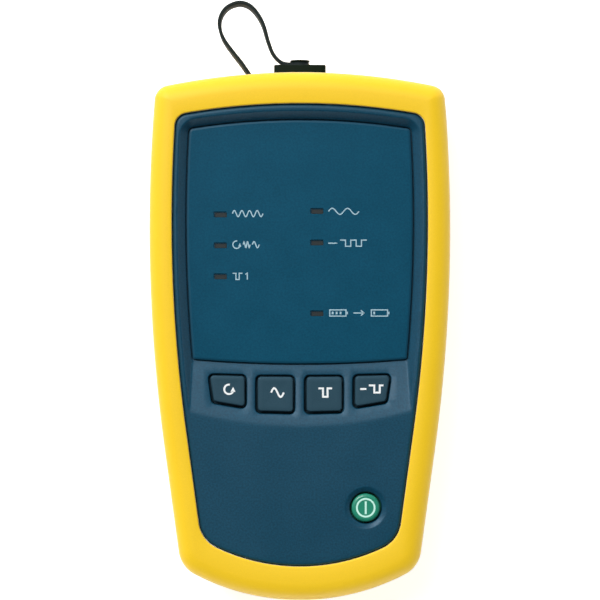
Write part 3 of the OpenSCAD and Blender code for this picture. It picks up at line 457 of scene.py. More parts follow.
MATS = {
    "boot_rubber": finish("boot_rubber", srgb(253, 208, 24), 0.5, 0.35, 0.02, 0.006, 30.0,
                          patch_spread=0.02, specular=0.4, sheen=1.0),
    "case_plastic": finish("case_plastic", srgb(8, 65, 88), 0.4, 0.6, 0.2, 0.02, 14.0,
                           patch_spread=0.05, tint=(0.62, 0.82, 1.0), specular=0.46),
    "label_film": finish("label_film", srgb(8, 74, 99), 0.38, 0.6, 0.12, 0.006, 9.0,
                         patch_spread=0.07, tint=(0.5, 0.75, 1.0), specular=0.2),
    "label_edge": finish("label_edge", srgb(12, 74, 99), 0.42, 0.6, 0.05, 0.002, 9.0,
                         patch_spread=0.02, tint=(0.8, 0.92, 1.0), specular=0.36),
    "key_plastic": finish("key_plastic", srgb(42, 72, 86), 0.42, 0.3, 0.07, 0.008, 8.0,
                          tint=(0.6, 0.8, 1.0), specular=0.3),
    "button_plastic": finish("button_plastic", srgb(30, 140, 112), 0.32, 0.5, 0.04, 0.003, 5.0,
                             coat=0.2),
    "print_pale": finish("print_pale", srgb(166, 200, 214), 0.5, 0.5, 0.05, 0.002, 5.0),
    "print_white": finish("print_white", srgb(248, 252, 254), 0.45, 0.5, 0.03, 0.002, 5.0),
    "print_mint": finish("print_mint", srgb(205, 255, 238), 0.4, 0.5, 0.03, 0.002, 5.0),
    "seal_rubber": finish("seal_rubber", (0.02, 0.02, 0.02), 0.7, 0.3, 0.1, 0.02),
    "mat_silicone": finish("mat_silicone", (0.35, 0.42, 0.45), 0.5, 0.6, 0.04, 0.01),
    "spring_steel": finish("spring_steel", (0.56, 0.57, 0.58), 0.3, 0.2, 0.05, 0.004, 5.0,
                           metallic=1.0),
    "board_laminate": finish("board_laminate", (0.03, 0.16, 0.06), 0.4, 0.5, 0.12, 0.01, 6.0,
                             coat=0.3),
    "chip_resin": finish("chip_resin", (0.03, 0.03, 0.032), 0.6, 0.2, 0.1, 0.008),
    "lamp_resin": finish("lamp_resin", (0.75, 0.68, 0.5), 0.25, 0.6, 0.04, 0.002),
    "pipe_plastic": finish("pipe_plastic", srgb(46, 52, 54), 0.4, 0.5, 0.06, 0.002, 3.0,
                           specular=0.2),
    "screw_steel": finish("screw_steel", (0.5, 0.5, 0.52), 0.35, 0.25, 0.08, 0.006, 3.0,
                          metallic=1.0),
    "port_plastic": finish("port_plastic", srgb(14, 26, 17), 0.5, 0.3, 0.1, 0.005, 6.0,
                           specular=0.06),
    "sleeve_ceramic": finish("sleeve_ceramic", (0.9, 0.9, 0.88), 0.2, 0.5, 0.02, 0.001),
    "block_metal": finish("block_metal", (0.6, 0.6, 0.62), 0.35, 0.4, 0.05, 0.006, 8.0,
                          metallic=1.0, stretch=(1, 12, 1)),
    "can_metal": finish("can_metal", (0.75, 0.6, 0.3), 0.25, 0.3, 0.04, 0.003, metallic=1.0),
    "strap_rubber": finish("strap_rubber", srgb(34, 42, 42), 0.6, 0.35, 0.1, 0.006, 7.0,
                           specular=0.12),
    "cell_jacket": finish("cell_jacket", (0.12, 0.13, 0.14), 0.3, 0.8, 0.05, 0.002, 12.0,
                          metallic=0.6, coat=0.4),
    "contact_metal": finish("contact_metal", (0.6, 0.6, 0.6), 0.28, 0.3, 0.05, 0.004, 5.0,
                            metallic=1.0),
}


def quarter_over(r, z, n=10, wide=1.0):
    """Insets and heights of a quarter round that climbs inwards to the height z."""
    return [(wide * r * (1 - math.cos(a)), z - r * (1 - math.sin(a)))
            for a in (math.pi / 2 * i / n for i in range(n + 1))]


def quarter_under(r, z, n=10, wide=1.0):
    return [(wide * r * (1 - math.sin(a)), z + r * (1 - math.cos(a)))
            for a in (math.pi / 2 * i / n for i in range(n + 1))]


def crown(z):
    """How far the boot's side draws in towards its front and back."""
    return BOOT_CROWN * (2 * z / BOOT_H - 1) ** 2


def boot():
    """The boot: a hollow ring with rounded edges, a window in front and one behind."""
    edge = BOOT_EDGE_R
    steps, wide = 14, 1.25
    skin = quarter_under(BOOT_ROUND, 0.0, steps, wide) \
        + [(0.0, BOOT_H * k / 8) for k in range(2, 7)] \
        + quarter_over(BOOT_ROUND, BOOT_H, steps, wide)
    rings = [(outline(WIN_O, -edge), 0.0)]
    rings += [(outline(BOOT_O, s + crown(z)), z) for s, z in skin]
    # Front lip: softly rounded down into the window
    rings += [(outline(WIN_O, -edge * (1 - math.sin(a))), BOOT_H - edge * (1 - math.cos(a)))
              for a in (math.pi / 2 * k / 4 for k in range(5))]
    rings += [(outline(WIN_O), BOOT_H - LIP_T), (outline(BOOT_O, BOOT_WALL), BOOT_H - LIP_T),
              (outline(BOOT_O, BOOT_WALL), LIP_T), (outline(WIN_O), LIP_T)]
    rings += [(outline(WIN_O, -edge * (1 - math.cos(a))), edge * (1 - math.sin(a)))
              for a in (math.pi / 2 * k / 4 for k in range(4))]
    form = Form()
    form.loft(rings, closed=True)
    obj = make("boot_body", form, MATS["boot_rubber"])
    # Slot at the top end for the cap and the strap
    right, left = CAP_W / 2 + 1.1, STRAP_SCREW_X + EYELET_R + 3.3
    half_h, corner = CAP_H / 2 + 0.55, 2.2
    slot = rounded([(right, half_h), (-left, half_h), (-left, -half_h), (right, -half_h)],
                   corner, 0.0, 10)
    form = Form()
    ends = [form.add([(x, end, PORT_Z + y) for x, y in slot]) for end in (74.0, 84.0)]
    form.bridge(*ends)
    form.close(ends)
    cut(obj, make("slot_cutter", form, MATS["boot_rubber"]), sharp=40.0)
    place(obj, ROOT, "boot_rubber", "boot")


def soft_max(a, b, k):
    """The greater of two heights, rounded over where they differ by less than k."""
    h = np.maximum(k - np.abs(a - b), 0.0) / k
    return np.maximum(a, b) + h * h * k / 4


def soft_min(a, b, k):
    return -soft_max(-a, -b, k)


def label_distance(x, y):
    """Signed distance outwards from the label's outline, carried straight on below its turn."""
    x = np.abs(x)
    side_c = (WELL_O[0] - WELL_O[3], WELL_O[8])
    top_c = WELL_O[1] - WELL_O[4]
    taper = math.radians(WELL_O[9])
    turn = on_circle(side_c, WELL_O[3], -taper)
    arc = np.hypot(x - side_c[0], y - side_c[1]) - WELL_O[3]
    line = (x - turn[0]) * math.cos(taper) - (y - turn[1]) * math.sin(taper)
    side = np.where(y < turn[1], line, arc)
    top = np.hypot(x, y - top_c) - WELL_O[4]
    r = WELL_O[6]
    return np.hypot(np.maximum(side + r, 0), np.maximum(top + r, 0)) - r \
        + np.minimum(np.maximum(side + r, top + r), 0)


def face_height(x, y):
    """Height of the case's front face: well, ramp, palm and the dish of the button."""
    x, y = np.asarray(x, float), np.asarray(y, float)
    rise = PALM_Z - WELL_Z
    upper = smile_y(LABEL_FOOT + LABEL_GAP, LABEL_FOOT_R, x)
    lower = smile_y(CREASE_Y, CREASE_R, x)
    ramp = WELL_Z + rise * (upper - y) / (upper - lower)
    slope = WELL_Z + rise * (label_distance(x, y) - LABEL_GAP) / WELL_SLOPE_W
    floor = np.full_like(ramp, WELL_Z)
    # The creases at the ramp's ends are crisper than the edges of the slope
    crisp, soft = 0.12, 0.3
    h = soft_max(soft_max(ramp, slope, soft), floor, crisp)
    softness = crisp + (soft - crisp) * np.clip((slope - ramp) / 0.6 + 0.5, 0.0, 1.0)
    h = soft_min(h, np.full_like(h, PALM_Z), softness)
    away = np.hypot(x - POWER[0], y - POWER[1])
    cone = PALM_Z - DISH_T * (DISH_R - away) / (DISH_R - POWER_R - KEY_GAP)
    return soft_min(h, cone, 0.15)


def key_shape(k):
    """Corners of a key, anticlockwise; the outer two keys are tapered."""
    inner = ((1.21, 0.005), (0.19, 0), (0.19, -0.99), (1.21, -0.965))
    outer = ((2.585, 0.046), (1.585, 0.02), (1.575, -0.845), (2.475, -0.69))
    side = -1 if k < 2 else 1
    corners = [(side * a * KEY_W, b * KEY_H - KEY_TOP)
               for a, b in (outer if k in (0, 3) else inner)]
    return corners if side > 0 else corners[::-1]


def middle(shape):
    return tuple(sum(p[i] for p in shape) / len(shape) for i in (0, 1))


def inside(px, py, polygon):
    """Which points lie inside a polygon."""
    hit = np.zeros(len(px), bool)
    n = len(polygon)
    for i in range(n):
        (x1, y1), (x2, y2) = polygon[i - 1], polygon[i]
        if y1 == y2:
            continue
        cross = (y1 > py) != (y2 > py)
        hit ^= cross & (px < (x2 - x1) * (py - y1) / (y2 - y1) + x1)
    return hit


def spread(polygon, step):
    """A closed polygon with points no further apart than step."""
    out = []
    for i, a in enumerate(polygon):
        b = polygon[(i + 1) % len(polygon)]
        n = max(1, int(math.dist(a, b) / step))
        out += [(a[0] + (b[0] - a[0]) * k / n, a[1] + (b[1] - a[1]) * k / n) for k in range(n)]
    return out


def triangles(outer, holes, extra, lines=()):
    """Triangles over a plane area with holes.

    Returns the points, the triangles, where each given point went, and how many of the
    given points belong to loops.
    """
    points, edges = [], []
    for loop in [outer] + holes + list(lines):
        start, n = len(points), len(loop)
        points += loop
        edges += [(start + i, start + (i + 1) % n) for i in range(n)]
    count = len(points)
    points = points + extra
    verts, _, faces, origin, _, _ = delaunay_2d_cdt([Vector(p) for p in points], edges, [], 0,
                                                    1e-6, True)
    xy = np.array([(v.x, v.y) for v in verts])
    where = {}
    for i, src in enumerate(origin):
        for s in src:
            where[s] = i
    tris = np.array([f for f in faces if len(f) == 3])
    mid = xy[tris].mean(axis=1)
    keep = inside(mid[:, 0], mid[:, 1], outer)
    for hole in holes:
        keep &= ~inside(mid[:, 0], mid[:, 1], hole)
    return xy, tris[keep], where, count


def well_rings(offsets):
    """Rings of points at the given distances from the label, from the crease up and round."""
    out = []
    for d in offsets:
        out += [(x, y) for x, y in outline(WELL_O, -d, WELL_STEPS)
                if y > -24 and smile_y(CREASE_Y, CREASE_R, x) - 2 < y]
        o = drawn_in(WELL_O, -d)
        taper = math.radians(o[9])
        turn = on_circle((o[0] - o[3], o[8]), o[3], -taper)
        for k in range(1, 9):
            x, y = turn[0] - k * math.sin(taper), turn[1] - k * math.cos(taper)
            out += [(x, y), (-x, y)]
    return out


def groove_bottom(x, y, groove):
    """Which points lie between the groove's two inner loops."""
    return inside(x, y, groove[2]) & ~inside(x, y, groove[1])


def key_hole(k):
    """A key's shape with a little more room on its left and at its foot."""
    room = 0.2
    shape = key_shape(k)
    x0, y0 = middle(shape)
    return [(x - room * (x < x0), y - room * (y < y0)) for x, y in shape]


def face_points(button_r, near):
    """Points over the front face, closer together where its height changes."""
    rest = well_rings([-0.6, -0.2, 0.1, 0.3, 0.5, 0.8, 1.1, 1.4, 1.7, 2.0, 2.3, 2.6, 2.8, 2.95,
                       3.1])
    # Rows along the label's foot and along the crease
    for off in (-1.2, -0.6, -0.25, 0.0, 0.25, 0.6, 1.2):
        for i in range(-60, 61):
            x = i * 0.6
            rest.append((x, float(smile_y(LABEL_FOOT + LABEL_GAP, LABEL_FOOT_R, x)) + off))
            rest.append((x, float(smile_y(CREASE_Y, CREASE_R, x)) + off * 1.5))
    # A plain grid, a little off the middle so that it meets no other points
    rest += [(2.5 * i + 0.13, 2.5 * j + 0.21) for i in range(-16, 17) for j in range(-29, 30)]
    px, py = np.array([p[0] for p in rest]), np.array([p[1] for p in rest])
    fine = inside(px, py, outline(WIN_O, FACE_GAP + RIM_ROUND + 0.1))
    beside_slots = [rectangle(LED_W + 0.5, LED_H + 0.5, x, y) for x, y in LEDS]
    for area in near + [circle(button_r + 0.5, 48, *POWER)] + beside_slots:
        fine &= ~inside(px, py, area)
    fine &= np.hypot(px - POWER[0], py - POWER[1]) >= DISH_R + 0.7
    return [p for p, ok in zip(rest, fine) if ok]


def loop_ids(loops, where):
    """Numbers of the loops' points, which come first and in order in what was meshed."""
    out, start = [], 0
    for loop in loops:
        out.append([where[start + i] for i in range(len(loop))])
        start += len(loop)
    return out


def front_case():
    """The case's front half: face, rim, outer wall, inside and roof, with all its holes."""
    outer = outline(WIN_O, FACE_GAP + RIM_ROUND)
    button_r, button_steps = POWER_R + KEY_GAP, 72
    step = 0.7
    holes = [spread(rounded(key_hole(k), KEY_CORNER_R, -KEY_GAP), step) for k in range(4)]
    holes.append(circle(button_r, button_steps, *POWER))
    slots = [spread(rectangle(LED_W, LED_H, x, y), 0.8) for x, y in LEDS]

    # Points near each hole sink a little, so that its edge is softly rounded
    fillet = 0.3
    drops = {}
    extra = []

    def add(points, drop=0.0):
        for p in points:
            if drop:
                drops[len(extra)] = drop
            extra.append(p)

    def sunk(off):
        return fillet - math.sqrt(max(fillet ** 2 - (fillet - off) ** 2, 0.0))

    offsets = (0.05, 0.13, fillet)
    for k in range(4):
        for off in offsets:
            add(spread(rounded(key_hole(k), KEY_CORNER_R, -KEY_GAP - off), step), sunk(off))
    for off in offsets:
        add(circle(button_r + off, button_steps, *POWER), sunk(off))
    for off in (-0.7, -0.3, -0.15, 0.0, 0.15, 0.5):
        add(circle(DISH_R + off, button_steps, *POWER))
    add(face_points(button_r, [rounded(key_hole(k), KEY_CORNER_R, -KEY_GAP - 0.5)
                               for k in range(4)]))

    # Two of the groove's loops lie at the floor's height and two at its bottom
    groove = [outline(LABEL_O, -d, GROOVE_STEPS) for d in GROOVE]
    xy, tris, where, count = triangles(outer, holes + slots, extra, groove)
    z = face_height(xy[:, 0], xy[:, 1])
    z[groove_bottom(xy[:, 0], xy[:, 1], groove)] = WELL_Z - GROOVE_T
    loops = loop_ids([outer] + holes + slots + groove, where)
    for loop in loops[-3:-1]:
        z[loop] = WELL_Z - GROOVE_T
    z[loops[0]] = PALM_Z
    for loop in loops[1:1 + len(holes)]:
        z[loop] -= fillet
    for i, drop in drops.items():
        z[where[count + i]] -= drop

    form = Form()
    form.verts = [(x, y, h) for (x, y), h in zip(xy, z)]
    for t in tris:
        form.face([int(i) for i in t])
    # Rim, wall, shoulder and skirt, then back up the inside to the roof
    rings = [(outline(WIN_O, FACE_GAP + s), h)
             for s, h in reversed(quarter_over(0.5 * RIM_ROUND, PALM_Z, 10, 2.0))][1:]
    rings += [(outline(WIN_O, FACE_GAP), SHOULDER_Z), (outline(BOOT_O, CASE_IN), SHOULDER_Z),
              (outline(BOOT_O, CASE_IN), PARTING_Z), (outline(BOOT_O, HOLLOW_IN), PARTING_Z),
              (outline(BOOT_O, HOLLOW_IN), ROOF_Z)]
    made = form.loft(rings)
    form.bridge(loops[0], made[0])

    roof_outer = outline(BOOT_O, HOLLOW_IN)
    xy2, tris2, where2, _ = triangles(roof_outer, holes + slots, [])
    base = len(form.verts)
    form.verts += [(x, y, ROOF_Z) for x, y in xy2]
    for t in tris2:
        form.face([base + int(i) for i in reversed(t)])
    roof = loop_ids([roof_outer] + holes + slots, where2)
    for above, below in zip([made[-1]] + loops[1:], roof):
        form.bridge(above, [base + i for i in below])
    obj = make("front_case_shell", form, MATS["case_plastic"], sharp=FACE_ANGLE)
    port = Form()
    port.close(port.loft([(rectangle(PORT_W, 8.0, 0, 79.0), PORT_Z + side * PORT_H / 2)
                          for side in (-1, 1)]))
    cut(obj, make("port_cutter", port, MATS["case_plastic"]), sharp=FACE_ANGLE)
    place(obj, ROOT, "case_plastic", "front_case")


def label():
    """A thin plate whose upper edge slopes gently, with chamfered slots."""
    chamfer, corner = 0.12, 0.3
    # Insets of the upper edge's rings and how far they lie below the top
    edge = ((0.6, 0.0), (0.08, 0.19), (0.0, 0.3))
    z0, z1 = WELL_Z, WELL_Z + LABEL_T
    form = Form()
    # The slots leave a narrow gap above and to the left of the light pipes
    gap = 0.3
    slots = [rectangle(LED_W + gap, LED_H + gap, x - gap / 2, y + gap / 2) for x, y in LEDS]
    wide = [rounded(slot, corner, -chamfer, 3) for slot in slots]
    narrow = [rounded(slot, corner, 0.0, 3) for slot in slots]
    loops = []
    for holes, z, up, inset in ((wide, z1, True, edge[0][0]), (narrow, z0, False, 0.0)):
        xy, tris, where, _ = triangles(outline(LABEL_O, inset), holes, [])
        base = len(form.verts)
        form.verts += [(x, y, z) for x, y in xy]
        for t in tris:
            form.face([base + int(i) for i in (t if up else reversed(t))])
        loops.append([[base + i for i in loop]
                      for loop in loop_ids([outline(LABEL_O, inset)] + holes, where)])
    above = loops[0][0]
    for inset, drop in edge[1:]:
        ring = form.ring(outline(LABEL_O, inset), z1 - drop)
        form.bridge(above, ring, mark=1)
        above = ring
    form.bridge(above, loops[1][0], mark=1)
    for n, hole in enumerate(narrow):
        ring = form.ring(hole, z1 - chamfer)
        form.bridge(loops[0][n + 1], ring)
        form.bridge(ring, loops[1][n + 1])
    obj = make("label_plate", form, MATS["label_film"], MATS["label_edge"], sharp=10.0)
    place(obj, ROOT, "label_film", "label_panel")


def ribbon(path, width, closed=False):
    """Left and right edge points of a flat line, of one width or one width for each point."""
    pts = [Vector(p) for p in path]
    n = len(pts)
    widths = width if isinstance(width, tuple) else (width,) * n
    left, right = [], []
    for i, p in enumerate(pts):
        before = pts[i - 1] if closed or i > 0 else p
        after = pts[(i + 1) % n] if closed or i < n - 1 else p
        u = (p - before).normalized() if (p - before).length > 0 else (after - p).normalized()
        v = (after - p).normalized() if (after - p).length > 0 else u
        side_u, side_v = Vector((-u.y, u.x)), Vector((-v.y, v.x))
        mid = side_u + side_v
        mid = mid.normalized() if mid.length > 1e-6 else side_u
        reach = widths[i] / 2 / max(0.35, mid.dot(side_u))
        left.append(p + mid * reach)
        right.append(p - mid * reach)
    return left, right


def sign(name, strokes, x, y, z, material, body, slot, thick=0.03, sink=0.02):
    """Flat printed lines: each stroke is its points, width and whether it closes."""
    form = Form()
    for path, width, closed in strokes:
        edges = ribbon(path, width, closed)
        n = len(path)
        lt, rt, lb, rb = (form.add([(x + p.x, y + p.y, h) for p in edge])[0]
                          for h in (z + thick, z - sink) for edge in edges)
        for i in range(n if closed else n - 1):
            j = (i + 1) % n
            form.face([lt + i, lt + j, rt + j, rt + i])
            form.face([rb + i, rb + j, lb + j, lb + i])
            form.face([lt + j, lt + i, lb + i, lb + j])
            form.face([rt + i, rt + j, rb + j, rb + i])
        if not closed:
            form.face([lt, rt, rb, lb])
            form.face([rt + n - 1, lt + n - 1, lb + n - 1, rb + n - 1])
    place(make(name, form, material, sharp=50.0), body, slot)


def wave(width, height, periods, steps=14):
    n = periods * steps
    return [(-width / 2 + width * i / n, height / 2 * math.sin(2 * math.pi * periods * i / n))
            for i in range(n + 1)]


def square_wave(width, height, periods):
    out = []
    step = width / (2 * periods)
    for i in range(int(2 * periods)):
        h = height / 2 * (1 if i % 2 == 0 else -1)
        out += [(-width / 2 + i * step, h), (-width / 2 + (i + 1) * step, h)]
    return out


def arc(r, a0, a1, n):
    return [on_circle((0, 0), r, math.radians(a0 + (a1 - a0) * i / n)) for i in range(n + 1)]


def cycle(r, w):
    """An open ring that ends in a solid arrow head."""
    return [(arc(r, 80, 330, 28), w, False), (arc(r, 328, 388, 1), (2.7 * w, 0.1 * w), False)]


def battery(w, h, line, bars):
    """A cell's outline and end cap, with the given number of bars in it."""
    box = [(-w / 2, -h / 2), (w / 2, -h / 2), (w / 2, h / 2), (-w / 2, h / 2)]
    nub = [(w / 2 + line, -h * 0.2), (w / 2 + line, h * 0.2)]
    out = [(box, line, True), (nub, line * 1.3, False)]
    for i in range(bars):
        x = -w / 2 + (2.6 + 3.6 * i) * line
        out.append(([(x, -h / 2 + 1.6 * line), (x, h / 2 - 1.6 * line)], line * 1.6, False))
    return out


def moved(strokes, dx, dy=0.0):
    return [([(x + dx, y + dy) for x, y in path], w, shut) for path, w, shut in strokes]


def label_legends():
    """Small signs to the right of the lamp windows, in two columns."""
    w, tall = 0.34, 1.9
    left_x, right_x = -20.9, 8.6

    def legend(name, strokes, x, row, dy=0.0):
        sign(f"legend_{name}", strokes, x, LEDS[row][1] + dy, WELL_Z + LABEL_T,
             MATS["print_pale"], ROOT, "label_film")

    def waves(width, periods):
        return [(wave(width, tall, periods), w, False)]

    def steps(width, periods):
        return [(square_wave(width, tall, periods), w, False)]

    legend("short_wave", waves(9.4, 4), left_x + 4.8, 0, 0.45)
    change = cycle(1.15, w) + moved(waves(2.1, 2), 3.1) + moved(waves(2.1, 1), 5.9)
    legend("cycle", change, left_x + 1.4, 1, 0.4)
    one = [([(-0.5, 0.6), (0.1, 1.0), (0.1, -1.0)], w, False)]
    legend("coded", steps(3.0, 1.5) + moved(one, 2.9), left_x + 1.7, 2, 0.2)
    legend("long_wave", waves(9.4, 2), right_x + 4.9, 3, 0.1)
    steady = [([(-5.9, 0), (-3.1, 0)], w, False)]
    legend("steady_or_pulsed", steady + moved(steps(8.2, 2.5), 1.9), right_x + 6.0, 4)
    arrow = [([(-1.6, 0), (1.6, 0)], w, False), ([(0.7, 0.8), (1.6, 0), (0.7, -0.8)], w, False)]
    drain = battery(5.0, tall, w, 3) + moved(arrow, 6.4) \
        + moved(battery(5.0, tall, w, 1), 12.8)
    legend("battery_low", drain, right_x + 3.1, 5, 0.3)


def key(k):
    """One key with its flange and post, and the sign on it."""
    name = f"key_{k + 1}"
    shape = key_shape(k)
    mid = middle(shape)
    form = Form()
    rings = [(rounded(shape, KEY_CORNER_R, 0.0), KEY_FLANGE_Z - KEY_FLANGE_T)]
    rings += [(rounded(shape, KEY_CORNER_R, s), z)
              for s, z in quarter_over(2.0 * KEY_ROUND, KEY_Z, 10, 0.45)]
    made = form.loft(rings)
    form.lid(made[0], down=True)
    # The top is very slightly hollow towards its middle
    last = made[-1]
    top = rounded(shape, KEY_CORNER_R, 0.9 * KEY_ROUND)
    for share, dip in ((0.75, 0.03), (0.45, 0.07)):
        ring = form.ring([(mid[0] + (x - mid[0]) * share, mid[1] + (y - mid[1]) * share)
                          for x, y in top], KEY_Z - dip)
        form.bridge(last, ring)
        last = ring
    form.lid(last)
    form.close(form.loft([(rounded(shape, KEY_CORNER_R, -0.8), z)
                          for z in (KEY_FLANGE_Z - KEY_FLANGE_T, KEY_FLANGE_Z)]))
    form.close(form.loft([(circle(KEY_POST_R, 24, *mid), z)
                          for z in (KEY_POST_Z, KEY_FLANGE_Z - KEY_FLANGE_T / 2)]))
    place(make(f"{name}_cap", form, MATS["key_plastic"]), name, "key_plastic", name)
    w = 0.58
    steps = [(square_wave(5.0, 2.2, 1.5), w, False)]
    strokes, (x, y) = (
        (cycle(1.45, w), (-21.8, -16.3)),
        ([(wave(3.9, 2.7, 1, 24), w, False)], (-6.9, -17.3)),
        ([(square_wave(4.2, 2.6, 1.5), w, False)], (7.8, -17.3)),
        ([([(-4.0, 0), (-1.9, 0)], w, False)] + moved(steps, 1.4), (22.3, -16.2)),
    )[k]
    sign(f"{name}_sign", strokes, x, y, KEY_Z - 0.07, MATS["print_white"], name, "key_plastic",
         0.04, 0.03)


def power_button():
    """A round button turned from its profile, with a slight hollow and the usual sign."""
    top = PALM_Z - DISH_T / 3
    flange_r, foot = 5.15, KEY_FLANGE_Z - KEY_FLANGE_T
    rise, reach, steps = 0.75, 1.0, 72
    profile = [(0.01, KEY_POST_Z), (KEY_POST_R, KEY_POST_Z), (KEY_POST_R, foot), (flange_r, foot),
               (flange_r, KEY_FLANGE_Z), (POWER_R, KEY_FLANGE_Z), (POWER_R, top - rise)]
    profile += [(POWER_R - reach * (1 - math.cos(a)), top - rise * (1 - math.sin(a)))
                for a in (math.pi / 2 * i / 10 for i in range(1, 11))]
    profile += [(3.15, top - 0.02), (1.6, top - 0.05), (0.01, top - 0.06)]
    form = Form()
    form.close(form.loft([(circle(r, steps, *POWER), z) for r, z in profile]))
    obj = make("power_button_cap", form, MATS["button_plastic"])
    place(obj, "power_button", "button_plastic", "power_button")
    strokes = [(circle(2.72, 60), 0.56, True), ([(0, -1.95), (0, 1.95)], 0.6, False)]
    sign("power_sign", strokes, POWER[0], POWER[1], top - 0.03, MATS["print_mint"],
         "power_button", "button_plastic", 0.05, 0.05)


def keypad_mat():
    """The mat's sheet stays on the board, with a dome under each key and under the button."""
    middles = {f"key_{k + 1}": middle(key_shape(k)) for k in range(4)}
    middles["power_button"] = POWER
    node = frame["nodes"]["keypad_mat"]
    mesh = node.data.copy()
    mesh.transform(node.matrix_world)
    mesh.materials.clear()
    mesh.materials.append(MATS["mat_silicone"])
    edit(mesh, merge)
    sheet = add_object("mat_sheet", mesh)
    hole_r, foot_r, inner_r, steps = 3.25, 3.2, 2.6, 48
    form = Form()
    for x, y in middles.values():
        form.close(form.loft([(circle(hole_r, steps, x, y), BOARD_Z + z) for z in (-1, 3)]))
    cut(sheet, make("mat_cutter", form, MATS["mat_silicone"]))
    place(sheet, ROOT, "mat_silicone", "keypad_mat")
    # Radius and height above the board: up the inside, round the foot, up the outside
    inner = [(1.5 + 0.825 * i / 8, 1.6 - 1.2 * i / 8) for i in range(9)]
    outer = [(2.733 - 0.933 * i / 8, 0.8 + 1.6 * i / 8) for i in range(9)]
    foot = [(inner_r, 0.4), (inner_r, 0.0), (foot_r, 0.0), (foot_r, 0.4), (foot_r, 0.8)]
    profile = inner + foot + outer
    for body, (x, y) in middles.items():
        form = Form()
        rings = form.loft([(circle(r, steps, x, y), BOARD_Z + z) for r, z in profile])
        form.lid(rings[0])
        form.lid(rings[-1])
        dome = make(f"{body}_dome", form, MATS["mat_silicone"])
        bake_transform(dome)


def dust_cap():
    """The cap is drawn along Z and then turned to the port's axis, along Y."""
    mouth = CAP_MOUTH_Y
    corner, edge = 1.2, 0.35
    body = rectangle(CAP_W, CAP_H)
    form = Form()
    rings = [(rounded(body, corner, edge), mouth), (rounded(body, corner, 0.0), mouth + edge)]
    rings += [(rounded(body, corner, s), z) for s, z in quarter_over(edge, CAP_Y, 4)]
    made = form.loft(rings)
    socket = form.loft([(rounded(rectangle(PORT_W, PORT_H), 0.4), z)
                        for z in (mouth, CAP_Y - 1.6)])
    form.bridge(made[0], socket[0])
    form.lid(socket[1], down=True)
    form.lid(made[-1])
    # Knob, as radius and height
    top = CAP_Y + STRAP_T + 0.1
    profile = [(1.7, CAP_Y - 0.05), (1.7, top - 0.02), (2.75, top), (3.0, top + 0.07),
               (3.05, top + 0.2), (3.05, top + 0.52), (2.95, top + 0.64), (2.7, top + 0.7),
               (0.01, top + 0.7)]
    form.close(form.loft([(circle(r, 48), z) for r, z in profile]))
    form.verts = [(x, z, PORT_Z - y) for x, y, z in form.verts]
    place(make("cap_body", form, MATS["port_plastic"]), "dust_cap", "port_plastic", "dust_cap")


# The strap's loop as shares of its width and height
STRAP_SHARES = ((0, 0), (0.14, 0), (0.24, 0.035), (0.335, 0.17), (0.4, 0.39), (0.445, 0.6),
                (0.5, 0.76), (0.58, 0.9), (0.665, 0.98), (0.77, 1), (0.89, 0.94), (0.97, 0.82),
                (1, 0.67), (0.98, 0.51), (0.93, 0.365), (0.83, 0.18), (0.732, 0.015),
                (0.634, -0.17))
STRAP_LOW = top_y(BOOT_O, STRAP_SCREW_X) - CASE_IN + STRAP_T / 2 + 0.15
STRAP_HIGH = CAP_Y + 0.05 + STRAP_T / 2


def smooth_path(points, steps):
    """A smooth curve through the points, with so many steps between two of them."""
    out = []
    last = len(points) - 1
    for i in range(last):
        a, b, c, d = (Vector(points[k]) for k in (max(i - 1, 0), i, i + 1, min(i + 2, last)))
        for s in range(steps):
            t = s / steps
            out.append((2 * b + (c - a) * t + (2 * a - 5 * b + 4 * c - d) * t * t
                        + (3 * b - a - 3 * c + d) * t ** 3) / 2)
    return out + [Vector(points[last])]


def swell(start, end, share):
    """Rises from 0 to 1 and back between the two shares."""
    return math.sin(math.pi * min(1.0, max(0.0, (share - start) / (end - start)))) ** 2


def strap():
    """The band from the cap's knob to the screw, with an eyelet at each end."""
    loop_w, loop_h = 25.2, 19.0
    # The band turns its face a little towards the viewer, most at the top of the loop:
    # degrees, and the shares of its length between which it does so
    turns = ((10, 0.24, 0.68), (5, 0.1, 0.5), (-8, 0.6, 0.98))
    points = [(-a * loop_w, STRAP_HIGH + b * loop_h) for a, b in STRAP_SHARES]
    points += [(-STRAP_SCREW_X - 3.4 * STRAP_T, STRAP_LOW + 1.7 * STRAP_T),
               (-STRAP_SCREW_X - 2.5 * STRAP_T, STRAP_LOW + 0.4 * STRAP_T),
               (-STRAP_SCREW_X - 1.7 * STRAP_T, STRAP_LOW)]
    path = smooth_path(points, 6)
    section = rounded(rectangle(STRAP_T, STRAP_W), 0.3, 0.0, 3)
    n = len(path) - 1
    form = Form()
    rings = []
    for i, p in enumerate(path):
        run = (path[min(i + 1, n)] - path[max(i - 1, 0)]).normalized()
        side = Vector((-run.y, run.x, 0))
        a = sum(math.radians(turn) * swell(start, end, i / n) for turn, start, end in turns)
        rings.append(form.add([
            tuple(Vector((p.x, p.y, PORT_Z)) + side * (sx * math.cos(a) - sy * math.sin(a))
                  + Vector((0, 0, sx * math.sin(a) + sy * math.cos(a)))) for sx, sy in section]))
    for a, b in zip(rings, rings[1:]):
        form.bridge(a, b)
    form.close(rings)
    eye(form, 0.0, STRAP_HIGH, 1.78)
    obj = make("cap_strap_band", form, MATS["strap_rubber"])
    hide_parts("cap_strap")
    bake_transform(obj)
    form = Form()
    eye(form, -STRAP_SCREW_X, STRAP_LOW, 0.98)
    place(make("cap_strap_eyelet", form, MATS["strap_rubber"]), ROOT, "strap_rubber")


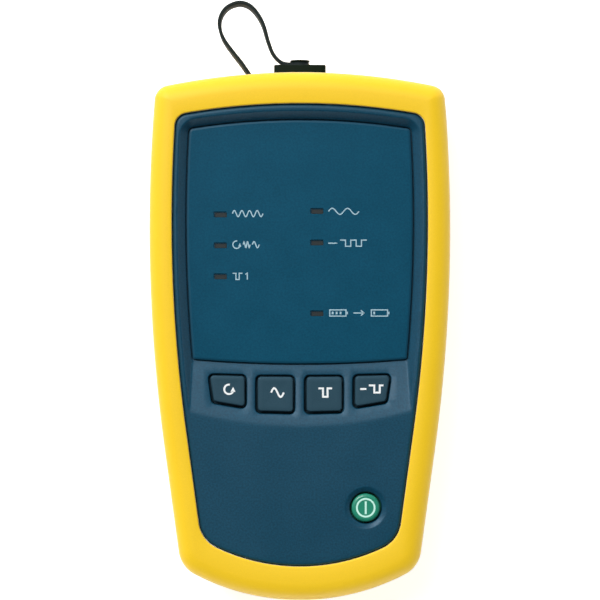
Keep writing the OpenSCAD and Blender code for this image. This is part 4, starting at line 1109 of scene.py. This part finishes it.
def eye(form, x, y, hole_r):
    """A flat eyelet round a hole, across the port's direction."""
    edge = 0.22
    half = STRAP_T / 2
    profile = [(hole_r, -half), (EYELET_R - edge, -half), (EYELET_R, -half + edge),
               (EYELET_R, half - edge), (EYELET_R - edge, half), (hole_r + edge, half),
               (hole_r, half - edge)]
    rings = [form.add([(x + px, y + h, PORT_Z + py) for px, py in circle(r, 48)])
             for r, h in profile]
    for a, b in zip(rings, rings[1:] + rings[:1]):
        form.bridge(a, b)


def dress():
    """Materials and narrow bevels for the CAD nodes that are shown as they are."""
    replaced = {"boot", "front_case", "label_panel", "key_1", "key_2", "key_3", "key_4",
                "power_button", "dust_cap", "cap_strap", "keypad_mat"}
    bevelled = {"rear_case": 0.25, "battery_door": 0.25, "fibre_adapter": 0.15,
                "case_screws": 0.15, "strap_screw": 0.12, "light_pipes": 0.08}
    slots = {s["node"]: s["material_slot"] for s in frame["record"]["subparts"]}
    for name, obj in frame["nodes"].items():
        if name in replaced:
            continue
        mat = MATS[slots[name]]
        if obj.material_slots:
            for s in obj.material_slots:
                s.material = mat
        else:
            obj.data.materials.append(mat)
        if name in bevelled:
            bevel(obj, bevelled[name])


def stage():
    """A pale floor that the camera and the reflections see at a plain level."""
    mat, tree, shader, _ = nodes_of("floor_white")
    shader.inputs["Base Color"].default_value = (0.85, 0.85, 0.85, 1)
    shader.inputs["Roughness"].default_value = 0.9
    path = tree.nodes.new("ShaderNodeLightPath")
    seen = calculate(tree, "MAXIMUM", path.outputs["Is Camera Ray"],
                     path.outputs["Is Glossy Ray"])
    seen = calculate(tree, "MAXIMUM", seen, path.outputs["Is Transmission Ray"])
    glow = tree.nodes.new("ShaderNodeEmission")
    glow.inputs["Color"].default_value = (1, 1, 1, 1)
    tree.links.new(calculate(tree, "MULTIPLY", seen, 0.74), glow.inputs["Strength"])
    add = tree.nodes.new("ShaderNodeAddShader")
    tree.links.new(shader.outputs[0], add.inputs[0])
    tree.links.new(glow.outputs[0], add.inputs[1])
    out = next(n for n in tree.nodes if n.type == "OUTPUT_MATERIAL")
    tree.links.new(add.outputs[0], out.inputs[0])
    form = Form()
    reach, n = 3000.0, 12
    # Just below the boot's back lip
    form.verts = [(-reach + 2 * reach * i / n, -reach + 2 * reach * j / n, -0.05)
                  for j in range(n + 1) for i in range(n + 1)]
    for j in range(n):
        for i in range(n):
            a = j * (n + 1) + i
            form.face([a, a + 1, a + n + 2, a + n + 1])
    make("floor", form, mat)


def lamp(name, at, target, size, power):
    data = bpy.data.lights.new(name, "AREA")
    data.shape, data.energy = "RECTANGLE", power
    data.size, data.size_y = size
    obj = add_object(name, data)
    obj.location = at
    obj.rotation_euler = (Vector(target) - Vector(at)).to_track_quat("-Z", "Y").to_euler()


def light():
    """White walls all round, a darker patch overhead, a key lamp from the top left."""
    world = bpy.data.worlds.new("studio")
    bpy.context.scene.world = world
    world.use_nodes = True
    tree = world.node_tree
    back = next(n for n in tree.nodes if n.type == "BACKGROUND")
    back.inputs["Color"].default_value = (1, 1, 1, 1)
    where = tree.nodes.new("ShaderNodeTexCoord")
    parts = tree.nodes.new("ShaderNodeSeparateXYZ")
    tree.links.new(where.outputs["Generated"], parts.inputs[0])
    # The walls dim upwards, and also towards the foot's side
    height = map_range(tree, parts.outputs["Z"], 0.25, 0.55, 1.6, 0.2, "SMOOTHSTEP")
    side = map_range(tree, parts.outputs["Y"], -0.7, 0.3, 0.2, 1.0, "SMOOTHSTEP")
    path = tree.nodes.new("ShaderNodeLightPath")
    pick = tree.nodes.new("ShaderNodeMix")
    pick.data_type = "FLOAT"
    tree.links.new(path.outputs["Is Camera Ray"], pick.inputs[0])
    tree.links.new(calculate(tree, "MULTIPLY", height, side), pick.inputs[2])
    pick.inputs[3].default_value = 1.0
    tree.links.new(pick.outputs[0], back.inputs["Strength"])
    lamp("key_light", (-1.0, 1.24, 1.5), (0, 0, 0.02), (1.0, 1.0), 28.5)
    lamp("top_light", (-0.4, 0.72, 1.95), (0, 0, 0.02), (0.7, 0.7), 13.5)
    # Long and low, so that it meets the foot's side but no face that looks up
    lamp("foot_light", (0.15, -1.2, 0.035), (0.15, 0, 0.034), (1.0, 0.06), 6.0)


def camera():
    """A long lens straight above, a little up from the body's middle."""
    data = bpy.data.cameras.new("view")
    data.lens, data.sensor_width = 168.5, 36.0
    data.clip_start, data.clip_end = 0.05, 20.0
    obj = add_object("view", data)
    obj.location = (0.00003, 0.01115, 0.9)
    bpy.context.scene.camera = obj


def main():
    scene = bpy.context.scene
    scene.view_settings.view_transform = "Standard"
    camera()
    stage()
    light()
    boot()
    front_case()
    label()
    label_legends()
    for k in range(4):
        key(k)
    power_button()
    keypad_mat()
    dust_cap()
    strap()
    dress()


main()
